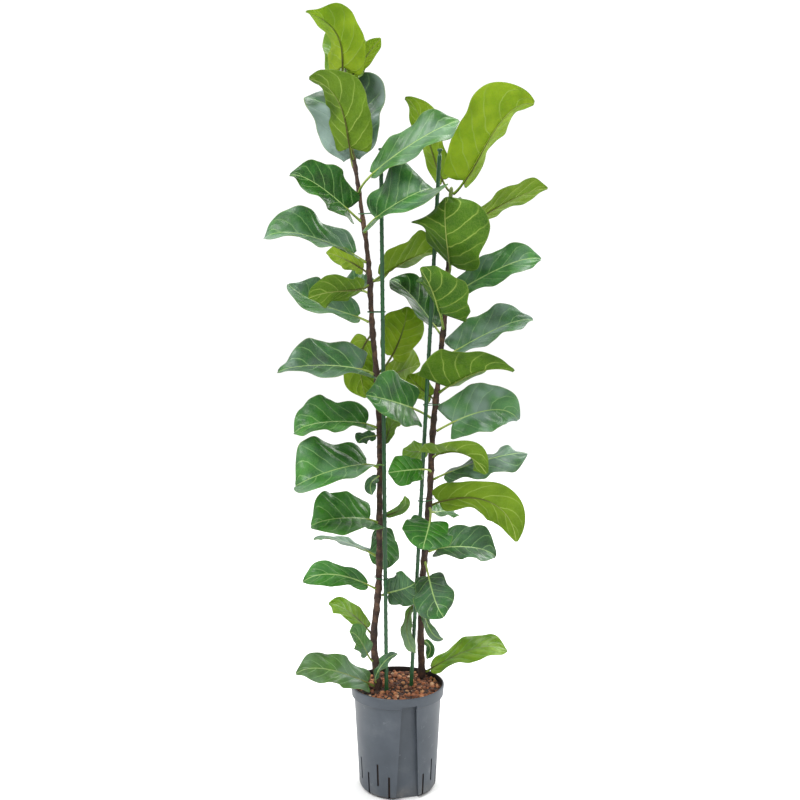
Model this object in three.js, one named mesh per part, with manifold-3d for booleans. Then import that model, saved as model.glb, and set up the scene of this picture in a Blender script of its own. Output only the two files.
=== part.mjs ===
// A potted fiddle leaf fig: two slim stems in one grey hydroculture pot of clay granules,
// each stem tied to a green stake. Millimetres, +Z up, origin at the middle of the pot's flat
// underside. The camera that took the photograph stood at -Y, so +X is to its right.
import * as THREE from 'three';
import { mergeVertices } from 'three/addons/utils/BufferGeometryUtils.js';
import Module from 'manifold-3d';

const wasm = await Module();
wasm.setup();

// ---------------------------------------------------------------- driving dimensions

const GAP = 0.3; // air between solids that touch on the real plant
const HOLE = 0.39; // air round stems and stakes in the granules
const MERGE = 1e-4; // points closer than this are one point

const POT = {
  height: 201,
  baseRadius: 74, // body at the foot, outside
  topRadius: 83.5, // body under the rim band, outside
  rimRadius: 89.5,
  rimHeight: 21,
  rimTaper: 1.4,
  wall: 2.2,
  floor: 2.6,
  corner: 10, // rounding of the foot
  lip: [0.6, 2], // rounding of the rim's upper edge: inwards and down
  ledge: [0.4, 0.8], // slope inside, where the wall widens into the rim
  sides: 40,
};

const CHANNEL = {
  azimuth: -75, // degrees from +X: a little right of the front
  depth: 12,
  halfWidthTop: 14,
  halfWidthFoot: 22,
  top: 186,
  below: 5, // the cutting block starts this far under the pot and reaches outside it
  reach: 110,
};

const SLITS = {
  count: 19,
  start: -50.3, // azimuth of slit 0 in degrees, the first one right of the channel
  step: 17.12,
  width: 4,
  through: 40, // length of the cutting block
  low: [2, 46], // foot and head of the even slits
  high: [25, 68], // and of the odd ones
};

const SOIL = {
  level: 193, mound: 3, grain: 4, rings: 9, sectors: 34, seed: 18,
  plain: 4, // how far under the level the plain filling ends and the knobbly top's skirt ends
  skirt: 8,
};

// The stems: points on the axis, from the roots up, with the radius there.
const STEM_LEFT = [
  [-37, -16, 90, 5], [-36, -16, 194, 7], [-44, -16, 261, 6.6], [-46, -14, 303, 6.4],
  [-40, -12, 347, 6.2], [-35, -11, 405, 6], [-34, -10, 482, 5.8], [-34, -10, 559, 5.6],
  [-33, -10, 616, 5.4], [-33, -10, 691, 5.2], [-38, -8, 785, 5], [-47, -6, 878, 4.8],
  [-52, -5, 985, 4.4], [-57, -5, 1035, 4.2], [-65, -5, 1090, 4], [-70, -5, 1126, 3.8],
  [-76, -5, 1168, 3.5], [-83, -5, 1207, 3.2], [-89, -3, 1243, 3], [-97, 3, 1300, 2.7],
  [-100, 5, 1343, 2.2],
];
const STEM_RIGHT = [
  [47, 50, 90, 5], [48, 48, 193, 7], [45, 36, 272, 6.6], [46, 28, 355, 6.3],
  [51, 22, 435, 6], [58, 20, 514, 5.8], [63, 18, 592, 5.6], [65, 18, 650, 5.4],
  [69, 18, 717, 5.2], [75, 18, 761, 5], [82, 18, 840, 4.8], [89, 18, 897, 4.5],
  [94, 18, 962, 4.2], [96, 18, 1055, 3.8], [98, 18, 1120, 3.2], [101, 18, 1144, 2.4],
];
const STEM = { sides: 6, node: 1.2, nodeReach: 7, step: 60, nearest: 0.5 };
// The grey bud beside the right stem's top: points on its axis with the radius there.
const BUD = [
  [94, 18, 1088, 1.5], [106, 15, 1098, 2], [113, 13, 1106, 2.2], [115, 12, 1110, 4.6],
  [116, 12, 1117, 5], [116, 12, 1122, 3.4], [116, 12, 1125, 1],
];

const STAKE = {
  radius: 3.7, sides: 10, foot: 12, point: 8, pointRadius: 1.5,
  crown: 5, crownHeight: 3, crownTop: 4, neckRadius: 2.6, neckLow: 12, neckStart: 10, neckEnd: 5,
};
const STAKE_LEFT = { foot: [-21, -27], head: [-30, -24], top: 1208 };
const STAKE_RIGHT = { foot: [26, 0], head: [78, 3], top: 1211 };

const TIE = { wire: 1.4, sides: 4, steps: 20, air: 0.6 };
const TIES = [
  { name: 'tie_left_upper', stem: 'left', z: 1092 },
  { name: 'tie_left_middle', stem: 'left', z: 912 },
  { name: 'tie_left_lower', stem: 'left', z: 411 },
  { name: 'tie_right_upper', stem: 'right', z: 738 },
  { name: 'tie_right_lower', stem: 'right', z: 555 },
];

const BLADE = {
  half: 0.5, // half of a blade's thickness
  keel: 1, // midrib standing out of the underside at its foot
  stalk: 2.2, // half width of a leaf stalk
  stout: 1.6, // how much thicker the stalk is at the stem
  stalkShare: 0.14, // of the leaf's length before the blade, where a leaf doesn't say
  run: 0.2, // share of the length that a stalk keeps to the way it leaves the stem
  rise: 0.6, // slope of that way
  lobe: 0.5, // how far the two lobes at the foot reach back, as a share of the half width
  lobeEnd: 0.3, // share of the blade where the lobes end
  calm: 0.25, // share of the blade at its foot where the waves start
  calmTip: 0.14, // and at its tip where they end
  curl: [40, 100], // degrees between the last bend and the tip: eased from here, straight from there
  tipRun: 0.65, // share from tip to mid that a straight end keeps to
  waves: 1.9, // waves along a margin, with wavesMore for every next one of three leaves
  wavesMore: 0.3,
  turn: 2.4, // phase between the waves of one leaf and the next, in radians
  odd: 1.9, // phase between the two margins
  lobeCurve: 1.5, // over 1 keeps the lobes to the margins
  across: [-1, -0.5, 0, 0.5, 1],
  along: [0, 0.08, 0.2, 0.36, 0.53, 0.7, 0.86, 1],
};
// Half width of a blade from its foot to its tip, as a share of its widest place: the fiddle.
const FIDDLE = [
  [0, 0.2], [0.08, 0.56], [0.2, 0.74], [0.36, 0.8], [0.53, 0.96],
  [0.7, 1], [0.86, 0.76], [1, 0.08],
];

// The leaves, from the top down. z is the height on the stem, mid and tip are points of the
// midrib, face is the way the upper face looks, fold lifts both halves in degrees, wave is the
// height of the margin's waves, stalk the share of the leaf's length before the blade, leave
// the azimuth at which the stalk leaves the stem, and blunt under 1 brings the widest place
// nearer to the foot.
const LEAVES_LEFT = [
  { z: 1336, mid: [-101, -8, 1391], tip: [-164, -26, 1447], width: 100,
    face: [0.4, 0.8, 0.45], faceTip: [0.55, 0.3, 0.75], fold: 19, wave: 5, blunt: 0.55 },
  { z: 1322, mid: [-98, 58, 1385], tip: [-74, 80, 1442], width: 105,
    face: [0, -1, 0.1], fold: 14, wave: 5, stalk: 0.2 },
  { z: 1190, mid: [-94, -40, 1258], tip: [-157, -50, 1325], width: 108,
    face: [0.4, 0.8, 0.4], faceTip: [0.6, 0.45, 0.65], fold: 20, wave: 5, blunt: 0.65 },
  { z: 1175, mid: [-92, 25, 1256], tip: [-108, 55, 1340], width: 157,
    face: [0.05, -1, -0.1], fold: 15, wave: 6, blunt: 1.35 },
  { z: 1130, mid: [14, -85, 1207], tip: [108, -80, 1246], width: 86,
    face: [-0.35, -0.7, 0.5], fold: 12, wave: 7, leave: 275, stalk: 0.22, blunt: 1.1 },
  { z: 1078, mid: [-124, -54, 1127], tip: [-191, -64, 1154], width: 102,
    face: [0.35, -0.75, 0.55], fold: 22, wave: 6, stalk: 0.22, blunt: 0.5 },
  { z: 1058, mid: [5, -84, 1110], tip: [68, -55, 1130], width: 146,
    face: [-0.25, -0.65, 0.65], fold: 24, wave: 6, leave: 272, stalk: 0.24, blunt: 0.8 },
  { z: 1003, mid: [-142, -65, 1044], tip: [-236, -74, 1043], width: 114,
    face: [0.15, -0.6, 0.8], fold: 24, wave: 7 },
  { z: 983, mid: [-95, 58, 1010], tip: [-140, 108, 1027], width: 46,
    face: [0.2, 0.9, 0.3], fold: 12, wave: 4 },
  { z: 967, mid: [12, 45, 1013], tip: [75, 60, 1024], width: 104,
    face: [-0.3, 0.5, 0.8], fold: 20, wave: 6, leave: 40 },
  { z: 961, mid: [-95, -75, 951], tip: [-156, -100, 936], width: 62,
    face: [-0.1, 0.85, 0.5], fold: 8, wave: 5 },
  { z: 944, mid: [-88, 80, 951], tip: [-130, 98, 956], width: 105,
    face: [0, -0.7, 0.7], fold: 12, wave: 6, stalk: 0.24 },
  { z: 893, mid: [-120, -30, 918], tip: [-200, -30, 962], width: 88,
    face: [0.3, -0.65, 0.7], fold: 22, wave: 6 },
  { z: 870, mid: [-69, 47, 834], tip: [-62, 70, 745], width: 72,
    face: [0.1, 1, 0.1], fold: 10, wave: 5 },
  { z: 800, mid: [10, 50, 860], tip: [18, 75, 922], width: 84,
    face: [0, 0.9, 0.3], fold: 10, wave: 5, leave: 30, stalk: 0.28 },
  { z: 796, mid: [-126, -58, 815], tip: [-215, -74, 804], width: 112,
    face: [0.05, -0.62, 0.78], fold: 23, wave: 7, blunt: 0.45 },
  { z: 778, mid: [8, 86, 800], tip: [45, 132, 806], width: 80,
    face: [-0.1, 0.95, 0.3], fold: 10, wave: 5, leave: 60 },
  { z: 696, mid: [-115, -52, 713], tip: [-188, -60, 692], width: 108,
    face: [0, -0.56, 0.83], fold: 24, wave: 6, blunt: 0.8 },
  { z: 622, mid: [-103, -94, 633], tip: [-181, -114, 603], width: 146,
    face: [-0.1, -0.6, 0.8], fold: 27, wave: 6, stalk: 0.16 },
  { z: 517, mid: [-94, -75, 540], tip: [-156, -88, 526], width: 112,
    face: [0, -0.65, 0.75], fold: 23, wave: 6, blunt: 0.75 },
  { z: 512, mid: [-27, 42, 462], tip: [-30, 68, 405], width: 60,
    face: [0, -1, 0.2], fold: 8, wave: 5, leave: 80 },
  { z: 451, mid: [-102, 10, 474], tip: [-160, 12, 477], width: 72,
    face: [0.1, 0.1, 1], fold: 5, wave: 3 },
  { z: 390, mid: [-99, -60, 426], tip: [-173, -75, 419], width: 52,
    face: [0.05, -0.7, 0.7], fold: 8, wave: 4 },
  { z: 374, mid: [-1, -20, 387], tip: [33, -28, 404], width: 68,
    face: [0.05, -0.95, 0.3], fold: 8, wave: 4, leave: 20, stalk: 0.2 },
  { z: 300, mid: [-88, 38, 324], tip: [-136, 58, 338], width: 46,
    face: [0.3, -0.65, 0.7], fold: 10, wave: 4 },
  { z: 251, mid: [-64, -45, 288], tip: [-88, -76, 325], width: 46,
    face: [0.35, -0.75, 0.55], fold: 10, wave: 4, stalk: 0.25 },
  { z: 201, mid: [-112, -50, 241], tip: [-189, -60, 240], width: 68,
    face: [0.1, -0.6, 0.8], fold: 11, wave: 6, stalk: 0.1, blunt: 0.7 },
];
const LEAVES_RIGHT = [
  { z: 1136, mid: [61, 60, 1232], tip: [14, 80, 1318], width: 66,
    face: [0.6, 0.75, 0.2], fold: 18, wave: 6, blunt: 0.8 },
  { z: 1130, mid: [164, 0, 1227], tip: [250, 0, 1291], width: 138,
    face: [-0.45, 0.65, 0.6], fold: 33, wave: 7, blunt: 0.75 },
  { z: 1055, mid: [198, 60, 1125], tip: [287, 70, 1147], width: 76,
    face: [-0.3, 0.5, 0.8], fold: 10, wave: 4 },
  { z: 982, mid: [90, -72, 1026], tip: [85, -87, 1113], width: 154,
    face: [0.45, 0.85, 0.15], fold: 16, wave: 6, leave: 285, stalk: 0.2 },
  { z: 940, mid: [180, -20, 990], tip: [263, -22, 1008], width: 76,
    face: [-0.25, -0.8, 0.55], fold: 18, wave: 6, blunt: 0.75 },
  { z: 880, mid: [74, -70, 925], tip: [40, -88, 988], width: 125,
    face: [0.65, 0.7, 0.3], fold: 28, wave: 6, stalk: 0.35, blunt: 0.45 },
  { z: 869, mid: [38, 62, 937], tip: [-14, 92, 974], width: 88,
    face: [0.5, -0.65, 0.55], fold: 20, wave: 5, leave: 120 },
  { z: 825, mid: [170, 15, 872], tip: [255, 20, 896], width: 98,
    face: [-0.3, -0.6, 0.75], fold: 22, wave: 6, blunt: 0.65 },
  { z: 760, mid: [131, -45, 798], tip: [208, -72, 804], width: 150,
    face: [-0.4, 0.8, 0.35], faceTip: [-0.2, 0.1, 1], fold: 28, wave: 4, blunt: 0.4 },
  { z: 745, mid: [40, 62, 765], tip: [22, 86, 790], width: 56,
    face: [0, 0.95, 0.3], fold: 10, wave: 5, leave: 120 },
  { z: 711, mid: [0, -68, 752], tip: [-56, -94, 764], width: 112,
    face: [0.15, -0.88, 0.45], fold: 17, wave: 4, leave: 150, stalk: 0.26, blunt: 0.6 },
  { z: 686, mid: [151, 15, 722], tip: [229, 20, 707], width: 108,
    face: [-0.1, -0.85, 0.5], fold: 22, wave: 6, stalk: 0.2, blunt: 0.5 },
  { z: 637, mid: [106, -50, 657], tip: [160, -92, 622], width: 96,
    face: [-0.3, 0.7, 0.65], fold: 12, wave: 4, stalk: 0.12, blunt: 0.45 },
  { z: 610, mid: [18, -48, 622], tip: [-17, -55, 618], width: 58,
    face: [0, -0.95, 0.25], fold: 9, wave: 4, leave: 262, stalk: 0.3 },
  { z: 594, mid: [152, -35, 636], tip: [239, -40, 652], width: 76,
    face: [-0.25, -0.5, 0.85], fold: -18, wave: 7 },
  { z: 544, mid: [148, -35, 567], tip: [219, -58, 490], width: 80,
    face: [0.2, 0.9, 0.4], fold: 10, wave: 7, stalk: 0.08, blunt: 0.7 },
  { z: 539, mid: [55, -84, 521], tip: [46, -93, 484], width: 94,
    face: [0, -0.97, 0.25], fold: 8, wave: 4, leave: 285, stalk: 0.4, blunt: 0.8 },
  { z: 452, mid: [125, 10, 464], tip: [187, 10, 444], width: 96,
    face: [0, -0.55, 0.83], fold: 22, wave: 5, blunt: 0.7 },
  { z: 433, mid: [58, -75, 403], tip: [84, -98, 360], width: 78,
    face: [-0.1, -0.9, 0.35], fold: 10, wave: 6, leave: 285, stalk: 0.3 },
  { z: 206, mid: [126, 27, 250], tip: [214, 31, 252], width: 70,
    face: [-0.2, -0.4, 0.9], fold: 6, wave: 5, stalk: 0.08 },
];
// Small leaves, fused with the stem that they grow from. Their number sets the phase of their
// waves, and they start a little inside the bark.
const SPRIG = { firstNumber: 60, rooted: 2.5 };
const SPRIGS_LEFT = [
  { z: 1330, mid: [-65, 10, 1368], tip: [-31, 0, 1408], width: 36,
    face: [-0.5, 0.8, 0.3], fold: 12, wave: 3 },
  { z: 682, mid: [-55, -14, 679], tip: [-73, -20, 668], width: 32,
    face: [0, -0.6, 0.8], fold: 8, wave: 3 },
  { z: 658, mid: [-16, 6, 688], tip: [12, 10, 716], width: 34,
    face: [-0.4, -0.7, 0.5], fold: 8, wave: 3, leave: 30 },
  { z: 606, mid: [-46, -36, 600], tip: [-47, -49, 576], width: 22,
    face: [0, -1, 0.1], fold: 8, wave: 2, leave: 250 },
  { z: 524, mid: [0, -6, 536], tip: [13, -11, 566], width: 20,
    face: [-0.1, -0.9, 0.35], fold: 8, wave: 2, leave: 30 },
  { z: 208, mid: [-34, -45, 244], tip: [0, -60, 278], width: 26,
    face: [-0.5, -0.55, 0.65], fold: 10, wave: 3, leave: 240 },
];
const SPRIGS_RIGHT = [
  { z: 652, mid: [36, 52, 640], tip: [12, 76, 645], width: 44,
    face: [0, -0.95, 0.3], fold: 8, wave: 3, leave: 120 },
  { z: 530, mid: [93, 55, 529], tip: [112, 80, 516], width: 50,
    face: [0, -0.6, 0.8], fold: 8, wave: 3 },
  { z: 355, mid: [19, -4, 322], tip: [34, -25, 268], width: 27,
    face: [-0.6, -0.75, 0.3], fold: 8, wave: 3, leave: 180 },
  { z: 340, mid: [56, -20, 317], tip: [86, -30, 296], width: 20,
    face: [0.2, -0.85, 0.5], fold: 8, wave: 2, leave: 290 },
  { z: 272, mid: [62, 60, 255], tip: [58, 72, 222], width: 18,
    face: [0, -0.95, 0.3], fold: 8, wave: 2, leave: 60 },
];

const COLOURS = {
  pot: 0x5c646b,
  granules: 0xa0603f,
  bark: 0x4b3226,
  stake: 0x1e5f37,
  tie: 0x2f7a46,
  leaf: 0x3f7a2e,
};

// ---------------------------------------------------------------- helpers

const vec = (p) => new THREE.Vector3(...p);
const lerp = THREE.MathUtils.lerp;
const radians = THREE.MathUtils.degToRad;
const smooth = (x) => THREE.MathUtils.smoothstep(x, 0, 1);

// Linear interpolation in rows of [key, value, ...], sorted by key.
function along(rows, key, column = 1) {
  let i = 1;
  while (i < rows.length - 1 && rows[i][0] < key) i += 1;
  const [a, b] = [rows[i - 1], rows[i]];
  const share = THREE.MathUtils.clamp((key - a[0]) / (b[0] - a[0]), 0, 1);
  return lerp(a[column], b[column], share);
}

// A repeatable draw from 0 to 1.
function seeded(seed) {
  let state = seed >>> 0;
  return () => {
    state = (state + 0x6d2b79f5) >>> 0;
    let t = Math.imul(state ^ (state >>> 15), state | 1);
    t ^= t + Math.imul(t ^ (t >>> 7), t | 61);
    return ((t ^ (t >>> 14)) >>> 0) / 4294967296;
  };
}

// A closed skin over rings of points. Each ring runs along one face and back along the other,
// and both faces are split alike, so that a thin waved blade never cuts through itself.
// A skin that is not looped is shut at both ends by a ladder between the two faces.
function loft(rings, looped = false) {
  const count = rings[0].length;
  const half = count / 2;
  const positions = rings.flat().flatMap((p) => [p.x, p.y, p.z]);
  const faces = [];
  const at = (i, j) => (i % rings.length) * count + (j % count);
  const spans = looped ? rings.length : rings.length - 1;
  for (let i = 0; i < spans; i += 1) {
    for (let j = 0; j < count; j += 1) {
      const [a, b, c, d] = [at(i, j), at(i, j + 1), at(i + 1, j + 1), at(i + 1, j)];
      if (j >= half && j < count - 1) faces.push(a, b, d, b, c, d);
      else faces.push(a, b, c, a, c, d);
    }
  }
  if (!looped) {
    const last = rings.length - 1;
    for (let j = 0; j < half - 1; j += 1) {
      const k = count - 1 - j;
      const corners = [[j, k, k - 1], [j, k - 1, j + 1]];
      for (const [a, b, c] of corners) {
        faces.push(at(0, a), at(0, b), at(0, c), at(last, a), at(last, c), at(last, b));
      }
    }
  }
  const geometry = new THREE.BufferGeometry();
  geometry.setAttribute('position', new THREE.Float32BufferAttribute(positions, 3));
  geometry.setIndex(faces);
  return outward(geometry);
}

// Turns every face round if the skin is inside out.
function outward(geometry) {
  const index = geometry.index.array;
  const { position } = geometry.attributes;
  const corner = (i) => new THREE.Vector3().fromBufferAttribute(position, index[i]);
  let volume = 0;
  for (let i = 0; i < index.length; i += 3) {
    volume += corner(i).dot(corner(i + 1).cross(corner(i + 2)));
  }
  if (volume < 0) {
    for (let i = 0; i < index.length; i += 3) [index[i], index[i + 1]] = [index[i + 1], index[i]];
  }
  return geometry;
}

function solid(geometry) {
  const merged = mergeVertices(stripped(geometry.clone()), MERGE);
  return new wasm.Manifold(new wasm.Mesh({
    numProp: 3,
    vertProperties: new Float32Array(merged.attributes.position.array),
    triVerts: new Uint32Array(merged.index.array),
  }));
}

function skin(body) {
  const mesh = body.getMesh();
  const geometry = new THREE.BufferGeometry();
  geometry.setAttribute('position', new THREE.Float32BufferAttribute(mesh.vertProperties, 3));
  geometry.setIndex(Array.from(mesh.triVerts));
  return geometry;
}

function turned(profile, sides) {
  const points = profile.map(([r, z]) => new THREE.Vector2(r, z));
  const lathe = stripped(new THREE.LatheGeometry(points, sides).rotateX(Math.PI / 2));
  return outward(mergeVertices(lathe, MERGE));
}

function stripped(geometry) {
  geometry.deleteAttribute('normal');
  geometry.deleteAttribute('uv');
  return geometry;
}

function named(name, geometry, colour, roughness = 0.6) {
  const material = new THREE.MeshStandardMaterial({ color: colour, roughness, metalness: 0 });
  const mesh = new THREE.Mesh(geometry, material);
  mesh.name = name;
  return mesh;
}

// ---------------------------------------------------------------- pot

// Outer radius of the pot's body at a height.
function potRadius(z) {
  const share = (z - POT.corner) / (POT.height - POT.rimHeight - POT.corner);
  return lerp(POT.baseRadius, POT.topRadius, share);
}

// A round corner from the flat underside to the wall, as points of a profile.
function corner(radius, z, rounding, steps) {
  return Array.from({ length: steps + 1 }, (_, i) => {
    const angle = (Math.PI / 2) * (i / steps);
    return [radius - rounding + rounding * Math.sin(angle), z + rounding - rounding * Math.cos(angle)];
  });
}

// Inner radius of the rim band.
const rimRoom = POT.rimRadius - POT.rimTaper - POT.wall;

// The room inside the pot's wall, shrunk all round by a clearance.
function insideOfPot(top, clearance = 0) {
  const underRim = POT.height - POT.rimHeight;
  const inset = POT.wall + clearance;
  const ledge = underRim + inset;
  return turned([
    [0, POT.floor + clearance],
    ...corner(POT.baseRadius - inset, POT.floor + clearance, POT.corner - POT.wall, 2),
    [potRadius(underRim) - inset, underRim],
    [potRadius(underRim) - inset + POT.ledge[0], ledge],
    [rimRoom - clearance, ledge + POT.ledge[1]],
    [rimRoom - clearance, top],
    [0, top],
  ], POT.sides);
}

// The upright channel in the wall, grown all round by a margin.
function channel(margin = 0) {
  const angle = radians(CHANNEL.azimuth);
  const out = new THREE.Vector3(Math.cos(angle), Math.sin(angle), 0);
  const side = new THREE.Vector3(-out.y, out.x, 0);
  const ring = (z, near, halfWidth) => [
    [near, -1], [near, 1], [CHANNEL.reach, 1], [CHANNEL.reach, -1],
  ].map(([r, s]) => (
    out.clone().multiplyScalar(r).addScaledVector(side, s * halfWidth).setZ(z)));
  const foot = potRadius(0) - CHANNEL.depth - margin;
  const head = potRadius(CHANNEL.top) - CHANNEL.depth - margin;
  return solid(loft([
    ring(-CHANNEL.below, foot, CHANNEL.halfWidthFoot + margin),
    ring(CHANNEL.top + margin, head, CHANNEL.halfWidthTop + margin),
  ]));
}

function slit(number) {
  const [low, high] = number % 2 ? SLITS.high : SLITS.low;
  const box = new THREE.BoxGeometry(SLITS.through, SLITS.width, high - low);
  box.translate(POT.baseRadius, 0, (low + high) / 2);
  return solid(box.rotateZ(radians(SLITS.start + SLITS.step * number)));
}

function pot() {
  const underRim = POT.height - POT.rimHeight;
  const outside = turned([
    [0, 0],
    ...corner(POT.baseRadius, 0, POT.corner, 3),
    [potRadius(underRim), underRim],
    [POT.rimRadius - POT.rimTaper, underRim],
    [POT.rimRadius, POT.height - POT.lip[1]],
    [POT.rimRadius - POT.lip[0], POT.height],
    [0, POT.height],
  ], POT.sides);
  const room = solid(insideOfPot(POT.height + 1)).subtract(channel(POT.wall));
  let body = solid(outside).subtract(channel()).subtract(room);
  for (let i = 0; i < SLITS.count; i += 1) body = body.subtract(slit(i));
  return named('pot', skin(body), COLOURS.pot, 0.55);
}

// ---------------------------------------------------------------- stems and stakes

// A stem's axis and radius at a height, through its list of points.
function stemAt(route, z) {
  const rows = route.map(([x, y, height, r]) => [height, x, y, r]);
  return { x: along(rows, z, 1), y: along(rows, z, 2), radius: along(rows, z, 3) };
}

// The swelling where leaves grow is part of the radius.
function stemRadius(route, nodes, z) {
  const swell = Math.max(0, ...nodes.map((node) => Math.exp(-(((z - node) / STEM.nodeReach) ** 2))));
  return stemAt(route, z).radius + STEM.node * swell;
}

// Rings stand at every node, at every point of the route and in between on long stretches.
function stemLevels(route, nodes) {
  const marks = [...route.map((p) => p[2]), ...nodes].sort((a, b) => a - b);
  const levels = [marks[0]];
  for (const mark of marks.slice(1)) {
    const last = levels[levels.length - 1];
    if (mark - last < STEM.nearest) continue;
    const parts = Math.ceil((mark - last) / STEM.step);
    for (let i = 1; i <= parts; i += 1) levels.push(lerp(last, mark, i / parts));
  }
  return levels;
}

// A level ring of points round an axis.
function ringAt(x, y, z, radius, sides) {
  return Array.from({ length: sides }, (_, i) => {
    const angle = (2 * Math.PI * i) / sides;
    return new THREE.Vector3(x + radius * Math.cos(angle), y + radius * Math.sin(angle), z);
  });
}

function stem(route, nodes, grow = 0) {
  return loft(stemLevels(route, nodes).map((z) => {
    const { x, y } = stemAt(route, z);
    return ringAt(x, y, z, stemRadius(route, nodes, z) + grow, STEM.sides);
  }));
}

const bud = () => loft(BUD.map(([x, y, z, radius]) => ringAt(x, y, z, radius, STEM.sides)));

function stakeAt(stake, z) {
  const share = (z - SOIL.level) / (stake.top - SOIL.level);
  return { x: lerp(stake.foot[0], stake.head[0], share), y: lerp(stake.foot[1], stake.head[1], share) };
}

function stake(spec, grow = 0) {
  const levels = [
    [STAKE.foot - grow, STAKE.pointRadius],
    [STAKE.foot + STAKE.point - grow, STAKE.radius],
    [spec.top - STAKE.neckLow, STAKE.radius],
    [spec.top - STAKE.neckStart, STAKE.neckRadius],
    [spec.top - STAKE.neckEnd, STAKE.neckRadius],
    [spec.top - STAKE.crownHeight, STAKE.crown],
    [spec.top, STAKE.crownTop],
  ];
  return loft(levels.map(([z, radius]) => {
    const { x, y } = stakeAt(spec, z);
    return ringAt(x, y, z, radius + grow, STAKE.sides);
  }));
}

// ---------------------------------------------------------------- ties

// A wire loop round a stem and its stake: the band that a string would follow round both.
function tie({ name, stem: which, z }) {
  const { route, stakeSpec } = PLANT[which];
  const [a, b] = [stemAt(route, z), stakeAt(stakeSpec, z)];
  const reachOf = (radius) => radius + TIE.wire + TIE.air;
  const [ra, rb] = [reachOf(stemAt(route, z).radius + STEM.node), reachOf(STAKE.radius)];
  const path = Array.from({ length: TIE.steps }, (_, i) => {
    const angle = (2 * Math.PI * i) / TIE.steps;
    const way = new THREE.Vector2(Math.cos(angle), Math.sin(angle));
    const reachA = way.x * a.x + way.y * a.y + ra;
    const reachB = way.x * b.x + way.y * b.y + rb;
    const [centre, radius] = reachA > reachB ? [a, ra] : [b, rb];
    return { x: centre.x + radius * way.x, y: centre.y + radius * way.y, way };
  });
  const rings = path.map(({ x, y, way }) => Array.from({ length: TIE.sides }, (_, i) => {
    const angle = (2 * Math.PI * i) / TIE.sides;
    const out = TIE.wire * Math.cos(angle);
    return new THREE.Vector3(x + way.x * out, y + way.y * out, z + TIE.wire * Math.sin(angle));
  }));
  return named(name, loft(rings, true), COLOURS.tie);
}

// ---------------------------------------------------------------- leaves

// The midrib: it leaves the stem, passes through mid and ends at tip.
function midrib(spec, route, nodes, sunk) {
  const { x, y } = stemAt(route, spec.z);
  const axis = new THREE.Vector3(x, y, spec.z);
  const mid = vec(spec.mid);
  const tip = vec(spec.tip);
  const angle = spec.leave === undefined ? Math.atan2(mid.y - y, mid.x - x) : radians(spec.leave);
  const way = new THREE.Vector3(Math.cos(angle), Math.sin(angle), 0);
  const start = axis.clone().addScaledVector(way, stemRadius(route, nodes, spec.z) + sunk);
  const length = start.distanceTo(mid) + mid.distanceTo(tip);
  const outward = way.clone().setZ(Math.sign(mid.z - spec.z) * BLADE.rise).normalize();
  const first = start.clone().addScaledVector(outward, BLADE.run * length);
  const second = mid.clone().multiplyScalar(8).sub(start).addScaledVector(first, -3).sub(tip);
  second.divideScalar(3);
  // A bend that would turn the tip back on itself is eased towards a straight end.
  const [free, full] = BLADE.curl.map(radians);
  const turn = tip.clone().sub(second).angleTo(tip.clone().sub(mid));
  second.lerp(tip.clone().lerp(mid, BLADE.tipRun), smooth((turn - free) / (full - free)));
  return { way, curve: new THREE.CubicBezierCurve3(start, first, second, tip) };
}

function bladeHalfWidth(spec, v) {
  return Math.max(BLADE.stalk, along(FIDDLE, v ** (spec.blunt ?? 1)) * spec.width / 2);
}

// One leaf as a closed skin: a stout stalk that widens into a folded, waved fiddle.
function leaf(spec, number, route, nodes, sunk = GAP) {
  const { way, curve } = midrib(spec, route, nodes, sunk);
  const stalk = spec.stalk ?? BLADE.stalkShare;
  const face = vec(spec.face).normalize();
  const faceTip = spec.faceTip ? vec(spec.faceTip).normalize() : face;
  const waves = BLADE.waves + BLADE.wavesMore * (number % 3);
  const phases = [BLADE.turn * number, BLADE.turn * number + BLADE.odd];
  const stations = BLADE.along.map((v) => {
    const share = stalk + (1 - stalk) * v;
    const halfWidth = bladeHalfWidth(spec, v);
    const forward = curve.getTangentAt(share);
    const look = face.clone().lerp(faceTip, smooth(v));
    return {
      v, halfWidth, point: curve.getPointAt(share), forward,
      normal: look.addScaledVector(forward, -look.dot(forward)).normalize(),
      fold: radians(spec.fold),
      wave: spec.wave * smooth(v / BLADE.calm) * smooth((1 - v) / BLADE.calmTip),
      back: BLADE.lobe * halfWidth * Math.max(0, 1 - v / BLADE.lobeEnd),
      stout: 0, keel: BLADE.keel * (1 - v),
    };
  });
  // The stalk meets the stem without a twist.
  const [foot] = stations;
  const turnBack = new THREE.Quaternion().setFromUnitVectors(foot.forward, way);
  const atStem = {
    v: 0, halfWidth: BLADE.stalk, point: curve.getPointAt(0), forward: way,
    normal: foot.normal.clone().applyQuaternion(turnBack),
    fold: 0, wave: 0, back: 0, stout: BLADE.stout, keel: 0,
  };
  return loft([atStem, ...stations].map((at) => {
    const { normal } = at;
    const right = new THREE.Vector3().crossVectors(at.forward, normal);
    const [sine, cosine] = [Math.sin(at.fold), Math.cos(at.fold)];
    const section = (u, sign) => {
      const reach = Math.abs(u);
      const phase = phases[u < 0 ? 0 : 1];
      const ripple = at.wave * reach ** 2 * Math.sin(2 * Math.PI * waves * at.v + phase);
      const ridge = sign < 0 && u === 0 ? at.keel : 0;
      const thick = sign * (BLADE.half + at.stout * (1 - reach) + ridge);
      return at.point.clone()
        .addScaledVector(right, at.halfWidth * u * cosine - thick * Math.sign(u) * sine)
        .addScaledVector(normal, at.halfWidth * reach * sine + ripple + thick * cosine)
        .addScaledVector(at.forward, -at.back * reach ** BLADE.lobeCurve);
    };
    return [
      ...BLADE.across.map((u) => section(u, 1)),
      ...BLADE.across.toReversed().map((u) => section(u, -1)),
    ];
  }));
}

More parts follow.
